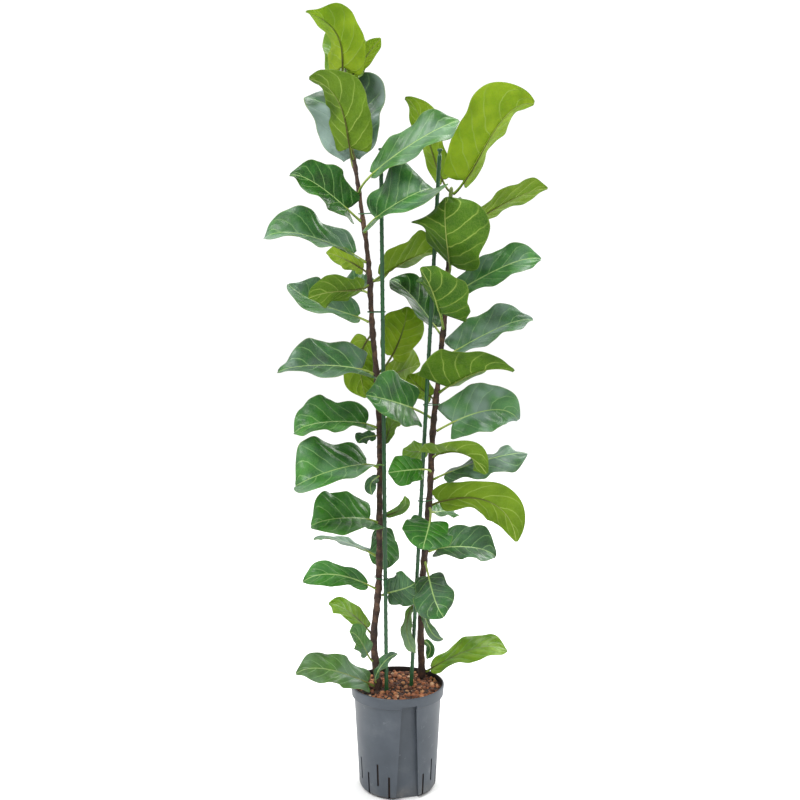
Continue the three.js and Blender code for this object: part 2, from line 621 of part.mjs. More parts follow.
const PLANT = {
  left: { route: STEM_LEFT, stakeSpec: STAKE_LEFT, leaves: LEAVES_LEFT, sprigs: SPRIGS_LEFT },
  right: { route: STEM_RIGHT, stakeSpec: STAKE_RIGHT, leaves: LEAVES_RIGHT, sprigs: SPRIGS_RIGHT },
};
for (const plant of Object.values(PLANT)) {
  plant.nodes = [...plant.leaves, ...plant.sprigs].map((spec) => spec.z);
}

function stemWithSprigs(which) {
  const { route, sprigs, nodes } = PLANT[which];
  let body = solid(stem(route, nodes));
  sprigs.forEach((spec, i) => {
    body = body.add(solid(leaf(spec, SPRIG.firstNumber + i, route, nodes, -SPRIG.rooted)));
  });
  if (which === 'right') body = body.add(solid(bud()));
  return named(`stem_${which}`, skin(body), COLOURS.bark, 0.8);
}

function leaves(which) {
  const { route, nodes, leaves: specs } = PLANT[which];
  return specs.map((spec, i) => {
    const number = String(i + 1).padStart(2, '0');
    return named(`leaf_${which}_${number}`, leaf(spec, i, route, nodes), COLOURS.leaf, 0.4);
  });
}

// ---------------------------------------------------------------- clay granules

// The filling, with a knobbly top, the channel's room left free and holes for stems and stakes.
function granules() {
  const draw = seeded(SOIL.seed);
  const wall = insideOfPot(SOIL.level - SOIL.plain, GAP);
  const edge = rimRoom - GAP;
  const rings = [];
  for (let i = SOIL.rings; i >= 1; i -= 1) {
    const radius = (edge * i) / SOIL.rings;
    rings.push(Array.from({ length: SOIL.sectors }, (_, j) => {
      const angle = (2 * Math.PI * (j + (i % 2) / 2)) / SOIL.sectors;
      const height = SOIL.level + SOIL.mound * (1 - (i / SOIL.rings) ** 2) - SOIL.grain * draw();
      return new THREE.Vector3(radius * Math.cos(angle), radius * Math.sin(angle), height);
    }));
  }
  const foot = rings[0].map((p) => p.clone().setZ(SOIL.level - SOIL.skirt));
  let body = solid(loft([foot, ...rings])).add(solid(wall));
  body = body.subtract(channel(POT.wall + GAP));
  for (const { route, nodes, stakeSpec } of Object.values(PLANT)) {
    body = body.subtract(solid(stem(route, nodes, HOLE)));
    body = body.subtract(solid(stake(stakeSpec, HOLE)));
  }
  return named('granules', skin(body), COLOURS.granules, 0.95);
}

// ---------------------------------------------------------------- the whole plant

const plant = new THREE.Group();
plant.add(pot(), granules());
for (const which of ['left', 'right']) {
  plant.add(stemWithSprigs(which));
  plant.add(named(`stake_${which}`, stake(PLANT[which].stakeSpec), COLOURS.stake, 0.4));
  plant.add(...leaves(which));
}
plant.add(...TIES.map(tie));

export default plant;
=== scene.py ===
# %% [markdown]
# # A potted fiddle leaf fig
# Two slim stems grow in one grey hydroculture pot of clay granules, and each is tied to a green
# stake. The solids of the plant are already packed at their real size. This lesson dresses them:
# every leaf is made again with its veins and folds, the pot with smooth walls, the stems with
# bark. Lengths in the lists are millimetres, as a grower would measure them, and Blender's own
# unit is the metre, so one number turns one into the other.

import math
import random

import bmesh
import bpy
import numpy as np
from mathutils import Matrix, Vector


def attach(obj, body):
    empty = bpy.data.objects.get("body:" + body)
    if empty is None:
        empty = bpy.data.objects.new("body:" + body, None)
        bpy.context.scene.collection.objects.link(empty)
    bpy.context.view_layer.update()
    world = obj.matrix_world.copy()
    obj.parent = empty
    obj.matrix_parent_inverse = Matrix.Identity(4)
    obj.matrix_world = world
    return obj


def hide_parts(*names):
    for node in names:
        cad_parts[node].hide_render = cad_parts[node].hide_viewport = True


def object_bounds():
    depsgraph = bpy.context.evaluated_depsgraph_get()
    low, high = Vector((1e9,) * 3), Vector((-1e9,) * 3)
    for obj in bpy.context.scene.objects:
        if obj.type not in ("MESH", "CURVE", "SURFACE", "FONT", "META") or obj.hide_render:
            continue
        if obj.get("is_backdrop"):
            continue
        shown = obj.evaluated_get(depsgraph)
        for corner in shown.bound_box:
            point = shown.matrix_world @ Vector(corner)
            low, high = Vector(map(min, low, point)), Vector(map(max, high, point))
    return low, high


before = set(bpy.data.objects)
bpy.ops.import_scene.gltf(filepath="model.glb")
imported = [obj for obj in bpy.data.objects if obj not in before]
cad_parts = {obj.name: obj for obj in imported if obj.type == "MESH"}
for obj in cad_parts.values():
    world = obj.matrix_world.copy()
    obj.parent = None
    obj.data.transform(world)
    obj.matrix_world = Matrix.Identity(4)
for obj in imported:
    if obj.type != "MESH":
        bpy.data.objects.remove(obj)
cad_low, cad_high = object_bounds()
print("solids:", len(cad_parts), "from", tuple(cad_low), "to", tuple(cad_high))

MM = 0.001  # one millimetre in metres

# %% [markdown]
# ## Where the camera stood
# The rim of the pot is a circle that the photograph shows as an ellipse, which gives how steeply
# the camera looked down on it. The leaves near the top are seen from a little below, so the
# camera stood about nine tenths of a metre up, close to two metres away, and tilted down a few
# degrees. A lens of 45 mm on a 36 mm sensor is a common studio choice and fits the measures.

# %% Camera
CAMERA_PLACE = (0.0046, -1.871, 0.914)
CAMERA_TILT = 5.1  # degrees below the horizon
LENS = 45.0
SENSOR = 36.0

camera_data = bpy.data.cameras.new("camera")
camera_data.lens = LENS
camera_data.sensor_width = SENSOR
camera = bpy.data.objects.new("camera", camera_data)
camera.location = CAMERA_PLACE
camera.rotation_euler = (math.radians(90 - CAMERA_TILT), 0, 0)
bpy.context.collection.objects.link(camera)
bpy.context.scene.camera = camera
print("camera at", tuple(camera.location))

# %% [markdown]
# ## Light
# The plant stood in a white studio: light came from everywhere, with a little more from above and
# from the left. A white world gives the even part and the sheen on waxy leaves. Large area lamps
# give the direction, and they are far enough away to leave only a soft shadow on the floor.

# %% World and lamps
WORLD_LIGHT = 1.12
LAMPS = [
    # name, place, size in metres, power in watts
    ("key", (-1.8, -1.6, 3.6), 1.6, 80),
    ("top", (0.5, 0.6, 4.0), 2.0, 90),
    ("back", (2.2, 2.4, 2.6), 2.0, 70),
]

world = bpy.data.worlds.new("studio")
world.use_nodes = True
world.node_tree.nodes["Background"].inputs["Color"].default_value = (1.0, 1.0, 1.0, 1.0)
world.node_tree.nodes["Background"].inputs["Strength"].default_value = WORLD_LIGHT
bpy.context.scene.world = world
bpy.context.scene.view_settings.view_transform = "Standard"

PLANT_MIDDLE = Vector((0.0, 0.0, 0.75))
for name, place, size, power in LAMPS:
    lamp_data = bpy.data.lights.new(name, "AREA")
    lamp_data.shape = "DISK"
    lamp_data.size = size
    lamp_data.energy = power
    lamp = bpy.data.objects.new(name, lamp_data)
    lamp.location = place
    lamp.rotation_euler = (PLANT_MIDDLE - lamp.location).to_track_quat("-Z", "Y").to_euler()
    bpy.context.collection.objects.link(lamp)
print("lamps:", [lamp[0] for lamp in LAMPS])

# %% [markdown]
# ## Shader maths as plain expressions
# A pattern such as a vein is a formula, and formulas are easier to read than a web of nodes. One
# small class wraps an output socket, and its operators add the Math nodes. The reflected forms
# let a plain number stand on the left, as in 1 - mask.

# %% A socket that does arithmetic
class Sock:
    """An output socket of a material, with which numbers and other sockets can be reckoned."""

    def __init__(self, finish, socket):
        self.finish = finish
        self.socket = socket

    def math(self, operation, *others):
        return self.finish.node("ShaderNodeMath", {"operation": operation}, [self, *others])

    def __add__(self, other):
        return self.math("ADD", other)

    def __mul__(self, other):
        return self.math("MULTIPLY", other)

    def __sub__(self, other):
        return self.math("SUBTRACT", other)

    def __pow__(self, other):
        return self.math("POWER", other)

    def __abs__(self):
        return self.math("ABSOLUTE")

    def __rsub__(self, other):
        return self.math("MULTIPLY_ADD", -1.0, other)

    __radd__ = __add__
    __rmul__ = __mul__

    def least(self, other):
        return self.math("MINIMUM", other)

    def nearest_line(self):
        """How far a value is from the nearest whole number: 0 on a line, 0.5 between two."""
        return abs(self - self.math("ROUND"))

    def ease(self, low, high):
        """A smooth step that is 0 at low and 1 at high."""
        ends = {"Value": self, "From Min": low, "From Max": high}
        return self.finish.node("ShaderNodeMapRange", {"interpolation_type": "SMOOTHSTEP"}, ends)


print("operators of a socket: + - * ** abs, with reflected + - *")

# %% [markdown]
# ## One class for a material
# A second class holds one material. It has a single method that adds any node, and short names
# for the nodes that come back often: ramps, blends, noise and numbers carried by the mesh. A
# colour is given as a screen shows it, so a helper turns it into light.

# %% A material and its nodes
class Finish:
    """One material: a Principled shader, and the nodes that feed it."""

    def __init__(self, name):
        self.material = bpy.data.materials.new(name)
        self.material.use_nodes = True
        self.tree = self.material.node_tree
        self.shader = self.tree.nodes["Principled BSDF"]

    def node(self, kind, settings=None, values=(), output=0):
        """Adds a node. Settings come first, then each socket gets a value or a link."""
        made = self.tree.nodes.new(kind)
        for key, value in (settings or {}).items():
            if key == "stops":
                self.set_stops(made.color_ramp, value)
            else:
                setattr(made, key, value)
        pairs = values.items() if isinstance(values, dict) else enumerate(values)
        for key, value in pairs:
            self.feed(made.inputs[key], value)
        return Sock(self, made.outputs[output])

    def feed(self, socket, value):
        if isinstance(value, Sock):
            self.tree.links.new(value.socket, socket)
        else:
            socket.default_value = value

    def set_stops(self, ramp, stops):
        while len(ramp.elements) < len(stops):
            ramp.elements.new(1.0)
        for element, (place, tint) in zip(ramp.elements, stops):
            element.position = place
            element.color = tint

    def ramp(self, factor, *stops):
        """A colour that follows a value through stops of (place, colour)."""
        return self.node("ShaderNodeValToRGB", {"stops": stops}, [factor])

    def blend(self, factor, first, second, how="MIX"):
        """Two colours mixed by a factor."""
        settings = {"data_type": "RGBA", "blend_type": how}
        return self.node("ShaderNodeMix", settings, {0: factor, 6: first, 7: second}, output=2)

    def number(self, name):
        """A number that every point of the mesh carries under a name."""
        return self.node("ShaderNodeAttribute", {"attribute_name": name}, output=2)

    def triple(self, name):
        """Three numbers that every point of the mesh carries under a name."""
        return self.node("ShaderNodeAttribute", {"attribute_name": name}, output=1)

    def part(self, vector, index):
        """One of the three numbers of a vector."""
        return self.node("ShaderNodeSeparateXYZ", values=[vector], output=index)

    def place(self):
        """The place of a point in the object, in metres."""
        return self.node("ShaderNodeTexCoord", output=3)

    def noise(self, where, scale, detail=3.0, roughness=0.5):
        values = {"Vector": where, "Scale": scale, "Detail": detail, "Roughness": roughness}
        return self.node("ShaderNodeTexNoise", values=values)

    def bump(self, height, strength):
        """A normal tilted by the slope of a height that is given in metres."""
        values = {"Height": height, "Strength": strength, "Distance": 1.0}
        return self.node("ShaderNodeBump", values=values)

    def surface(self, **values):
        """Sets or links sockets of the Principled shader; base_color means Base Color."""
        for key, value in values.items():
            socket = key.replace("_", " ").title().replace("Ior", "IOR")
            self.feed(self.shader.inputs[socket], value)
        return self.material

    def let_light_through(self, share, tint):
        """Mixes in a translucent shader, for a thin thing that light passes through."""
        plain = Sock(self, self.shader.outputs["BSDF"])
        glow = self.node("ShaderNodeBsdfTranslucent", values={"Color": tint})
        mixed = self.node("ShaderNodeMixShader", values=[share, plain, glow])
        self.feed(self.tree.nodes["Material Output"].inputs["Surface"], mixed)


def colour(red, green, blue):
    """A colour as a screen shows it, from 0 to 255, turned into light."""
    parts = [value / 255 for value in (red, green, blue)]
    light = [p / 12.92 if p <= 0.04045 else ((p + 0.055) / 1.055) ** 2.4 for p in parts]
    return (*light, 1.0)


print("mid grey as light:", round(colour(128, 128, 128)[0], 3))

# %% [markdown]
# ## The floor
# The floor is one wide disc of pale grey. It lies half a millimetre under the pot, so that the
# two never share a plane. It belongs to the stage and not to the plant.

# %% The floor
FLOOR_RADIUS = 60.0
FLOOR_SIDES = 96
FLOOR_GAP = 0.0005
FLOOR_TONES = [(0.3, 0.91), (0.7, 0.93)]  # place in the ramp and brightness


def floor_material():
    finish = Finish("floor")
    grain = finish.noise(finish.place(), 3.0)
    shade = finish.ramp(grain, *((place, (tone, tone, tone, 1)) for place, tone in FLOOR_TONES))
    return finish.surface(base_color=shade, roughness=0.8)


bpy.ops.mesh.primitive_circle_add(vertices=FLOOR_SIDES, radius=FLOOR_RADIUS, fill_type="NGON")
floor = bpy.context.object
floor.name = "floor"
floor.location.z = -FLOOR_GAP
floor.data.materials.append(floor_material())
floor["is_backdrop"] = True
print("floor:", floor.dimensions.x, "m across")

# %% [markdown]
# ## Tools for making skins
# Most pieces here are skins swept along something: a ring of points is repeated along a line and
# neighbours are joined by faces. One function makes any such skin, and a second one places the
# rings of an upright rod. Several skins can be joined in one mesh.

# %% Skins
def skin_faces(rows, columns, closed_rows=False, closed_columns=True):
    """Faces between neighbours of a grid of points, numbered row by row."""
    faces = []
    for row in range(rows if closed_rows else rows - 1):
        here, there = row * columns, (row + 1) % rows * columns
        for column in range(columns if closed_columns else columns - 1):
            following = (column + 1) % columns
            faces.append((here + column, here + following, there + following, there + column))
    return faces


def capped(rows, columns):
    """Faces of a closed tube of rings, with its two ends filled."""
    last = (rows - 1) * columns
    ends = [tuple(range(columns))[::-1], tuple(range(last, last + columns))]
    return skin_faces(rows, columns) + ends


def ring_angles(sides):
    return np.linspace(0, 2 * math.pi, sides, endpoint=False)


def upright_rings(x, y, zz, aa, radius):
    """Points in metres of rings round an axis of x and y, at heights zz and angles aa in mm."""
    ring = [x[:, None] + radius * np.cos(aa), y[:, None] + radius * np.sin(aa), zz]
    return np.stack(ring, axis=-1).reshape(-1, 3) * MM


def joined(parts):
    """Several skins as one list of points and faces."""
    points, faces = [], []
    for more_points, more_faces in parts:
        faces += [tuple(index + len(points) for index in face) for face in more_faces]
        points += list(more_points)
    return points, faces


print("faces of a box:", len(capped(2, 4)))

# %% [markdown]
# ## From a skin to a piece
# A piece rides on the imported model and may replace imported solids.
# It can carry numbers on its points, which the materials read later, for instance how far a point
# is from a leaf's midrib.

# %% Pieces
def make_piece(name, points, faces, material, replaced=(), numbers=None):
    """A piece of the plant from points in metres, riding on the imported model."""
    mesh = bpy.data.meshes.new(name)
    mesh.from_pydata([tuple(p) for p in points], [], faces)
    for key, values in (numbers or {}).items():
        layer = mesh.attributes.new(key, "FLOAT_VECTOR", "POINT")
        layer.data.foreach_set("vector", np.asarray(values, dtype=np.float32).ravel())
    mesh.shade_smooth()
    mesh.materials.append(material)
    piece = bpy.data.objects.new(name, mesh)
    bpy.context.collection.objects.link(piece)
    fix_winding(mesh)
    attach(piece, "root")
    if replaced:
        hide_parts(*replaced)
    return piece


def fix_winding(mesh):
    """Turns the faces outwards."""
    work = bmesh.new()
    work.from_mesh(mesh)
    bmesh.ops.recalc_face_normals(work, faces=work.faces)
    work.to_mesh(mesh)
    work.free()


# %% [markdown]
# ## Smooth curves
# Two small tools shape everything that grows: a step that starts and ends gently, and a curve
# through a few given points that never overshoots them.

# %% Curves
def smooth_step(x):
    """From 0 to 1 while x runs from 0 to 1, flat at both ends."""
    x = np.clip(x, 0.0, 1.0)
    return x * x * (3 - 2 * x)


def through(table, x):
    """A smooth curve through (place, value) pairs, without overshoot."""
    xs, ys = (np.array(column, dtype=float) for column in zip(*table))
    chords = np.diff(ys) / np.diff(xs)
    slopes = np.concatenate([[chords[0]], (chords[1:] + chords[:-1]) / 2, [chords[-1]]])
    turning = np.concatenate([[False], chords[1:] * chords[:-1] <= 0, [False]])
    slopes[turning] = 0.0
    at = np.clip(np.searchsorted(xs, x, side="right") - 1, 0, len(xs) - 2)
    span = xs[at + 1] - xs[at]
    t = np.clip((x - xs[at]) / span, 0.0, 1.0)
    rise = smooth_step(t)
    start = slopes[at] * span * t * (1 - t) ** 2
    end = slopes[at + 1] * span * t * t * (t - 1)
    return ys[at] + (ys[at + 1] - ys[at]) * rise + start + end


print("a curve through three points:", through([(0, 0), (1, 1), (2, 0)], np.array([0.5, 1.0])))

# %% [markdown]
# ## Stems
# Each stem is a slim trunk with dark brown bark. It was once a green shoot, so its top is still
# green. Where a leaf grows, the stem swells a little, and where a leaf fell, a scar runs round
# it. A ring of points every few millimetres is fine enough for these bumps. The lists give the
# axis of each stem from the roots up, with its radius.

# %% Where the stems run
STEM_ROUTES = {
    # x, y, z, radius
    "left": [
        (-37, -16, 90, 5), (-36, -16, 194, 7), (-44, -16, 261, 6.6), (-46, -14, 303, 6.4),
        (-40, -12, 347, 6.2), (-35, -11, 405, 6), (-34, -10, 482, 5.8), (-34, -10, 559, 5.6),
        (-33, -10, 616, 5.4), (-33, -10, 691, 5.2), (-38, -8, 785, 5), (-47, -6, 878, 4.8),
        (-52, -5, 985, 4.4), (-57, -5, 1035, 4.2), (-65, -5, 1090, 4), (-70, -5, 1126, 3.8),
        (-76, -5, 1168, 3.5), (-83, -5, 1207, 3.2), (-89, -3, 1243, 3), (-97, 3, 1300, 2.7),
        (-100, 5, 1343, 2.2),
    ],
    "right": [
        (47, 50, 90, 5), (48, 48, 193, 7), (45, 36, 272, 6.6), (46, 28, 355, 6.3),
        (51, 22, 435, 6), (58, 20, 514, 5.8), (63, 18, 592, 5.6), (65, 18, 650, 5.4),
        (69, 18, 717, 5.2), (75, 18, 761, 5), (82, 18, 840, 4.8), (89, 18, 897, 4.5),
        (94, 18, 962, 4.2), (96, 18, 1055, 3.8), (98, 18, 1120, 3.2), (101, 18, 1144, 2.4),
    ],
}
NODE_SWELL = 1.2  # mm that a stem is thicker where a leaf grows
NODE_REACH = 7.0  # mm over which it is


def stem_axis(side, z):
    """x, y and radius of a stem at heights z, joined by straight runs."""
    route = np.array(STEM_ROUTES[side], dtype=float)
    return [np.interp(z, route[:, 2], route[:, column]) for column in (0, 1, 3)]


for side in STEM_ROUTES:
    print(side, "stem from z", STEM_ROUTES[side][0][2], "to", STEM_ROUTES[side][-1][2], "mm")

# %% [markdown]
# ## The leaves, one by one
# Each row is one leaf, from the top down, read off the photograph. It gives the height
# where the leaf leaves the stem, a point at the middle of its midrib and its tip, its width, the
# way its upper face looks, how far its halves fold up in degrees, and how high its margin waves.
# What only some leaves have follows by name. The age runs from 0 for an old dark leaf to 1 for a
# young yellow-green one, and the sheen from 0 to 1 is a pale grey-green painted reflection on the
# upper face. Leave is the azimuth in which the stalk sets out, stalk its share of the length, and
# blunt shifts the widest part. Sprigs are the smallest leaves, grown into the stem.

# %% The leaf lists
def leaf_row(z, mid, tip, width, face, fold, wave, **more):
    """One leaf: what every row gives by place, and by name what only some give."""
    return dict(z=z, mid=mid, tip=tip, width=width, face=face, fold=fold, wave=wave, **more)


LEAVES_LEFT = [
    leaf_row(1336, (-101, -8, 1391), (-164, -26, 1447), 100, (0.4, 0.8, 0.45), 19, 5,
             face_tip=(0.55, 0.3, 0.75), blunt=0.55, age=1.0),
    leaf_row(1322, (-98, 58, 1385), (-74, 80, 1442), 105, (0, -1, 0.1), 14, 5, stalk=0.2, age=0.75),
    leaf_row(1190, (-94, -40, 1258), (-157, -50, 1325), 108, (0.4, 0.8, 0.4), 20, 5,
             face_tip=(0.6, 0.45, 0.65), blunt=0.65, age=0.5),
    leaf_row(1175, (-92, 25, 1256), (-108, 55, 1340), 157, (0.05, -1, -0.1), 15, 6, blunt=1.35,
             silver=0.75),
    leaf_row(1130, (14, -85, 1207), (108, -80, 1246), 86, (-0.35, -0.7, 0.5), 12, 7, leave=275,
             stalk=0.22, blunt=1.1, age=0.25, silver=0.3),
    leaf_row(1078, (-124, -54, 1127), (-191, -64, 1154), 102, (0.35, -0.75, 0.55), 22, 6,
             stalk=0.22, blunt=0.5),
    leaf_row(1058, (5, -84, 1110), (68, -55, 1130), 146, (-0.25, -0.65, 0.65), 24, 6, leave=272,
             stalk=0.24, blunt=0.8),
    leaf_row(1003, (-142, -65, 1044), (-236, -74, 1043), 114, (0.15, -0.6, 0.8), 24, 7,
             silver=0.35),
    leaf_row(983, (-95, 58, 1010), (-140, 108, 1027), 46, (0.2, 0.9, 0.3), 12, 4, age=0.8),
    leaf_row(967, (12, 45, 1013), (75, 60, 1024), 104, (-0.3, 0.5, 0.8), 20, 6, leave=40, age=0.6),
    leaf_row(961, (-95, -75, 951), (-156, -100, 936), 62, (-0.1, 0.85, 0.5), 8, 5, age=0.45),
    leaf_row(944, (-88, 80, 951), (-130, 98, 956), 105, (0, -0.7, 0.7), 12, 6, stalk=0.24),
    leaf_row(893, (-120, -30, 918), (-200, -30, 962), 88, (0.3, -0.65, 0.7), 22, 6, silver=0.35),
    leaf_row(870, (-69, 47, 834), (-62, 70, 745), 72, (0.1, 1, 0.1), 10, 5, age=0.7),
    leaf_row(800, (10, 50, 860), (18, 75, 922), 84, (0, 0.9, 0.3), 10, 5, leave=30, stalk=0.28,
             age=0.75),
    leaf_row(796, (-126, -58, 815), (-215, -74, 804), 112, (0.05, -0.62, 0.78), 23, 7, blunt=0.45,
             silver=0.3),
    leaf_row(778, (8, 86, 800), (45, 132, 806), 80, (-0.1, 0.95, 0.3), 10, 5, leave=60, age=0.7),
    leaf_row(696, (-115, -52, 713), (-188, -60, 692), 108, (0, -0.56, 0.83), 24, 6, blunt=0.8),
    leaf_row(622, (-103, -94, 633), (-181, -114, 603), 146, (-0.1, -0.6, 0.8), 27, 6, stalk=0.16),
    leaf_row(517, (-94, -75, 540), (-156, -88, 526), 112, (0, -0.65, 0.75), 23, 6, blunt=0.75),
    leaf_row(512, (-27, 42, 462), (-30, 68, 405), 60, (0, -1, 0.2), 8, 5, leave=80),
    leaf_row(451, (-102, 10, 474), (-160, 12, 477), 72, (0.1, 0.1, 1), 5, 3, silver=0.5),
    leaf_row(390, (-99, -60, 426), (-173, -75, 419), 52, (0.05, -0.7, 0.7), 8, 4),
    leaf_row(374, (-1, -20, 387), (33, -28, 404), 68, (0.05, -0.95, 0.3), 8, 4, leave=20,
             stalk=0.2),
    leaf_row(300, (-88, 38, 324), (-136, 58, 338), 46, (0.3, -0.65, 0.7), 10, 4, age=0.85),
    leaf_row(251, (-64, -45, 288), (-88, -76, 325), 46, (0.35, -0.75, 0.55), 10, 4, stalk=0.25,
             age=0.35, silver=0.35),
    leaf_row(201, (-112, -50, 241), (-189, -60, 240), 68, (0.1, -0.6, 0.8), 11, 6, stalk=0.1,
             blunt=0.7, age=0.4, silver=0.3),
]
LEAVES_RIGHT = [
    leaf_row(1136, (61, 60, 1232), (14, 80, 1318), 66, (0.6, 0.75, 0.2), 18, 6, blunt=0.8,
             age=0.75),
    leaf_row(1130, (164, 0, 1227), (250, 0, 1291), 138, (-0.45, 0.65, 0.6), 33, 7, blunt=0.75,
             age=1.0),
    leaf_row(1055, (198, 60, 1125), (287, 70, 1147), 76, (-0.3, 0.5, 0.8), 10, 4, age=0.6),
    leaf_row(982, (90, -72, 1026), (85, -87, 1113), 154, (0.45, 0.85, 0.15), 16, 6, leave=285,
             stalk=0.2, age=0.35),
    leaf_row(940, (180, -20, 990), (263, -22, 1008), 76, (-0.25, -0.8, 0.55), 18, 6, blunt=0.75,
             silver=0.3),
    leaf_row(880, (74, -70, 925), (40, -88, 988), 125, (0.65, 0.7, 0.3), 28, 6, stalk=0.35,
             blunt=0.45, age=0.3),
    leaf_row(869, (38, 62, 937), (-14, 92, 974), 88, (0.5, -0.65, 0.55), 20, 5, leave=120),
    leaf_row(825, (170, 15, 872), (255, 20, 896), 98, (-0.3, -0.6, 0.75), 22, 6, blunt=0.65,
             silver=0.55),
    leaf_row(760, (131, -45, 798), (208, -72, 804), 150, (-0.4, 0.8, 0.35), 28, 4,
             face_tip=(-0.2, 0.1, 1), blunt=0.4, age=0.4),
    leaf_row(745, (40, 62, 765), (22, 86, 790), 56, (0, 0.95, 0.3), 10, 5, leave=120, age=0.7),
    leaf_row(711, (0, -68, 752), (-56, -94, 764), 112, (0.15, -0.88, 0.45), 17, 4, leave=150,
             stalk=0.26, blunt=0.6),
    leaf_row(686, (151, 15, 722), (229, 20, 707), 108, (-0.1, -0.85, 0.5), 22, 6, stalk=0.2,
             blunt=0.5, silver=0.6),
    leaf_row(637, (106, -50, 657), (160, -92, 622), 96, (-0.3, 0.7, 0.65), 12, 4, stalk=0.12,
             blunt=0.45, age=0.5),
    leaf_row(610, (18, -48, 622), (-17, -55, 618), 58, (0, -0.95, 0.25), 9, 4, leave=262,
             stalk=0.3),
    leaf_row(594, (152, -35, 636), (239, -40, 652), 76, (-0.25, -0.5, 0.85), -18, 7, age=0.2,
             silver=0.35),
    leaf_row(544, (148, -35, 567), (219, -58, 490), 80, (0.2, 0.9, 0.4), 10, 7, stalk=0.08,
             blunt=0.7, age=0.6),
    leaf_row(539, (55, -84, 521), (46, -93, 484), 94, (0, -0.97, 0.25), 8, 4, leave=285, stalk=0.4,
             blunt=0.8),
    leaf_row(452, (125, 10, 464), (187, 10, 444), 96, (0, -0.55, 0.83), 22, 5, blunt=0.7),
    leaf_row(433, (58, -75, 403), (84, -98, 360), 78, (-0.1, -0.9, 0.35), 10, 6, leave=285,
             stalk=0.3),
    leaf_row(206, (126, 27, 250), (214, 31, 252), 70, (-0.2, -0.4, 0.9), 6, 5, stalk=0.08, age=0.9),
]
SPRIGS_LEFT = [
    leaf_row(1330, (-65, 10, 1368), (-31, 0, 1408), 36, (-0.5, 0.8, 0.3), 12, 3, age=1.0),
    leaf_row(682, (-55, -14, 679), (-73, -20, 668), 32, (0, -0.6, 0.8), 8, 3),
    leaf_row(658, (-16, 6, 688), (12, 10, 716), 34, (-0.4, -0.7, 0.5), 8, 3, leave=30, age=0.7),
    leaf_row(606, (-46, -36, 600), (-47, -49, 576), 22, (0, -1, 0.1), 8, 2, leave=250),
    leaf_row(524, (0, -6, 536), (13, -11, 566), 20, (-0.1, -0.9, 0.35), 8, 2, leave=30, age=0.7),
    leaf_row(208, (-34, -45, 244), (0, -60, 278), 26, (-0.5, -0.55, 0.65), 10, 3, leave=240,
             silver=0.4),
]
SPRIGS_RIGHT = [
    leaf_row(652, (36, 52, 640), (12, 76, 645), 44, (0, -0.95, 0.3), 8, 3, leave=120, age=0.8),
    leaf_row(530, (93, 55, 529), (112, 80, 516), 50, (0, -0.6, 0.8), 8, 3),
    leaf_row(355, (19, -4, 322), (34, -25, 268), 27, (-0.6, -0.75, 0.3), 8, 3, leave=180, age=0.6,
             silver=0.35),
    leaf_row(340, (56, -20, 317), (86, -30, 296), 20, (0.2, -0.85, 0.5), 8, 2, leave=290, age=0.3,
             silver=0.4),
    leaf_row(272, (62, 60, 255), (58, 72, 222), 18, (0, -0.95, 0.3), 8, 2, leave=60),
]
LEAF_LISTS = {
    "left": (LEAVES_LEFT, SPRIGS_LEFT),
    "right": (LEAVES_RIGHT, SPRIGS_RIGHT),
}
NODE_HEIGHTS = {side: [leaf["z"] for leaf in leaves + sprigs]
                for side, (leaves, sprigs) in LEAF_LISTS.items()}
print("leaves:", {side: len(heights) for side, heights in NODE_HEIGHTS.items()})


def stem_radius(side, z):
    """Radius of a stem at heights z, with a swelling at every leaf."""
    z = np.asarray(z, dtype=float)
    away = (z[..., None] - np.array(NODE_HEIGHTS[side], dtype=float)) / NODE_REACH
    return stem_axis(side, z)[2] + NODE_SWELL * np.exp(-away ** 2).max(axis=-1)


# %% [markdown]
# ## The outline of a leaf
# The leaf is named after a fiddle: it has a waist in its lower half and is widest in the upper
# third. A few pairs of numbers hold that outline, as shares of the blade's length and of its half
# width, and a smooth curve runs through them. A leaf that is blunter than the others reads the
# same outline a little earlier or later.

# %% Leaf outline
FIDDLE = [(0, 0.2), (0.08, 0.56), (0.2, 0.74), (0.36, 0.8), (0.53, 0.96),
          (0.7, 1.0), (0.86, 0.76), (1.0, 0.08)]
STALK_RADIUS = 2.2


def unit(vector):
    """The same direction with length 1."""
    vector = np.asarray(vector, dtype=float)
    return vector / np.linalg.norm(vector, axis=-1, keepdims=True)


def blade_width(leaf, v):
    """Half the width of a blade at shares v of its length."""
    return np.maximum(STALK_RADIUS, through(FIDDLE, v ** leaf.get("blunt", 1)) * leaf["width"] / 2)


SAMPLE = np.array([0.1, 0.36, 0.7, 0.95])
print("half widths of the top leaf in mm:", blade_width(LEAVES_LEFT[0], SAMPLE).round(1))

# %% [markdown]
# ## The midrib
# A stalk leaves the stem sideways and a little upwards, and then the midrib bends to the tip. A
# cubic curve does that with two handles. The first gives the way out of the stem. The second is
# chosen so that the curve passes the middle point of the row. Where the tip would turn back too
# sharply, that handle moves towards the straight line from mid to tip.

# %% Midrib
STALK_SHARE = 0.14  # of the length before the blade, where a row doesn't say
SUNK = 0.3  # mm off the bark where a stalk starts
SPRIG_SUNK = -2.5  # a sprig starts inside the stem
STALK_RISE = 0.6  # slope of the way in which a stalk leaves
STALK_RUN = 0.2  # share of the length that it keeps to that way
CURL = (40, 100)  # degrees that a tip may turn back: eased from the first, straight from the second
TIP_RUN = 0.65  # share from tip to mid that a straight end keeps to
ARC_STEPS = 200


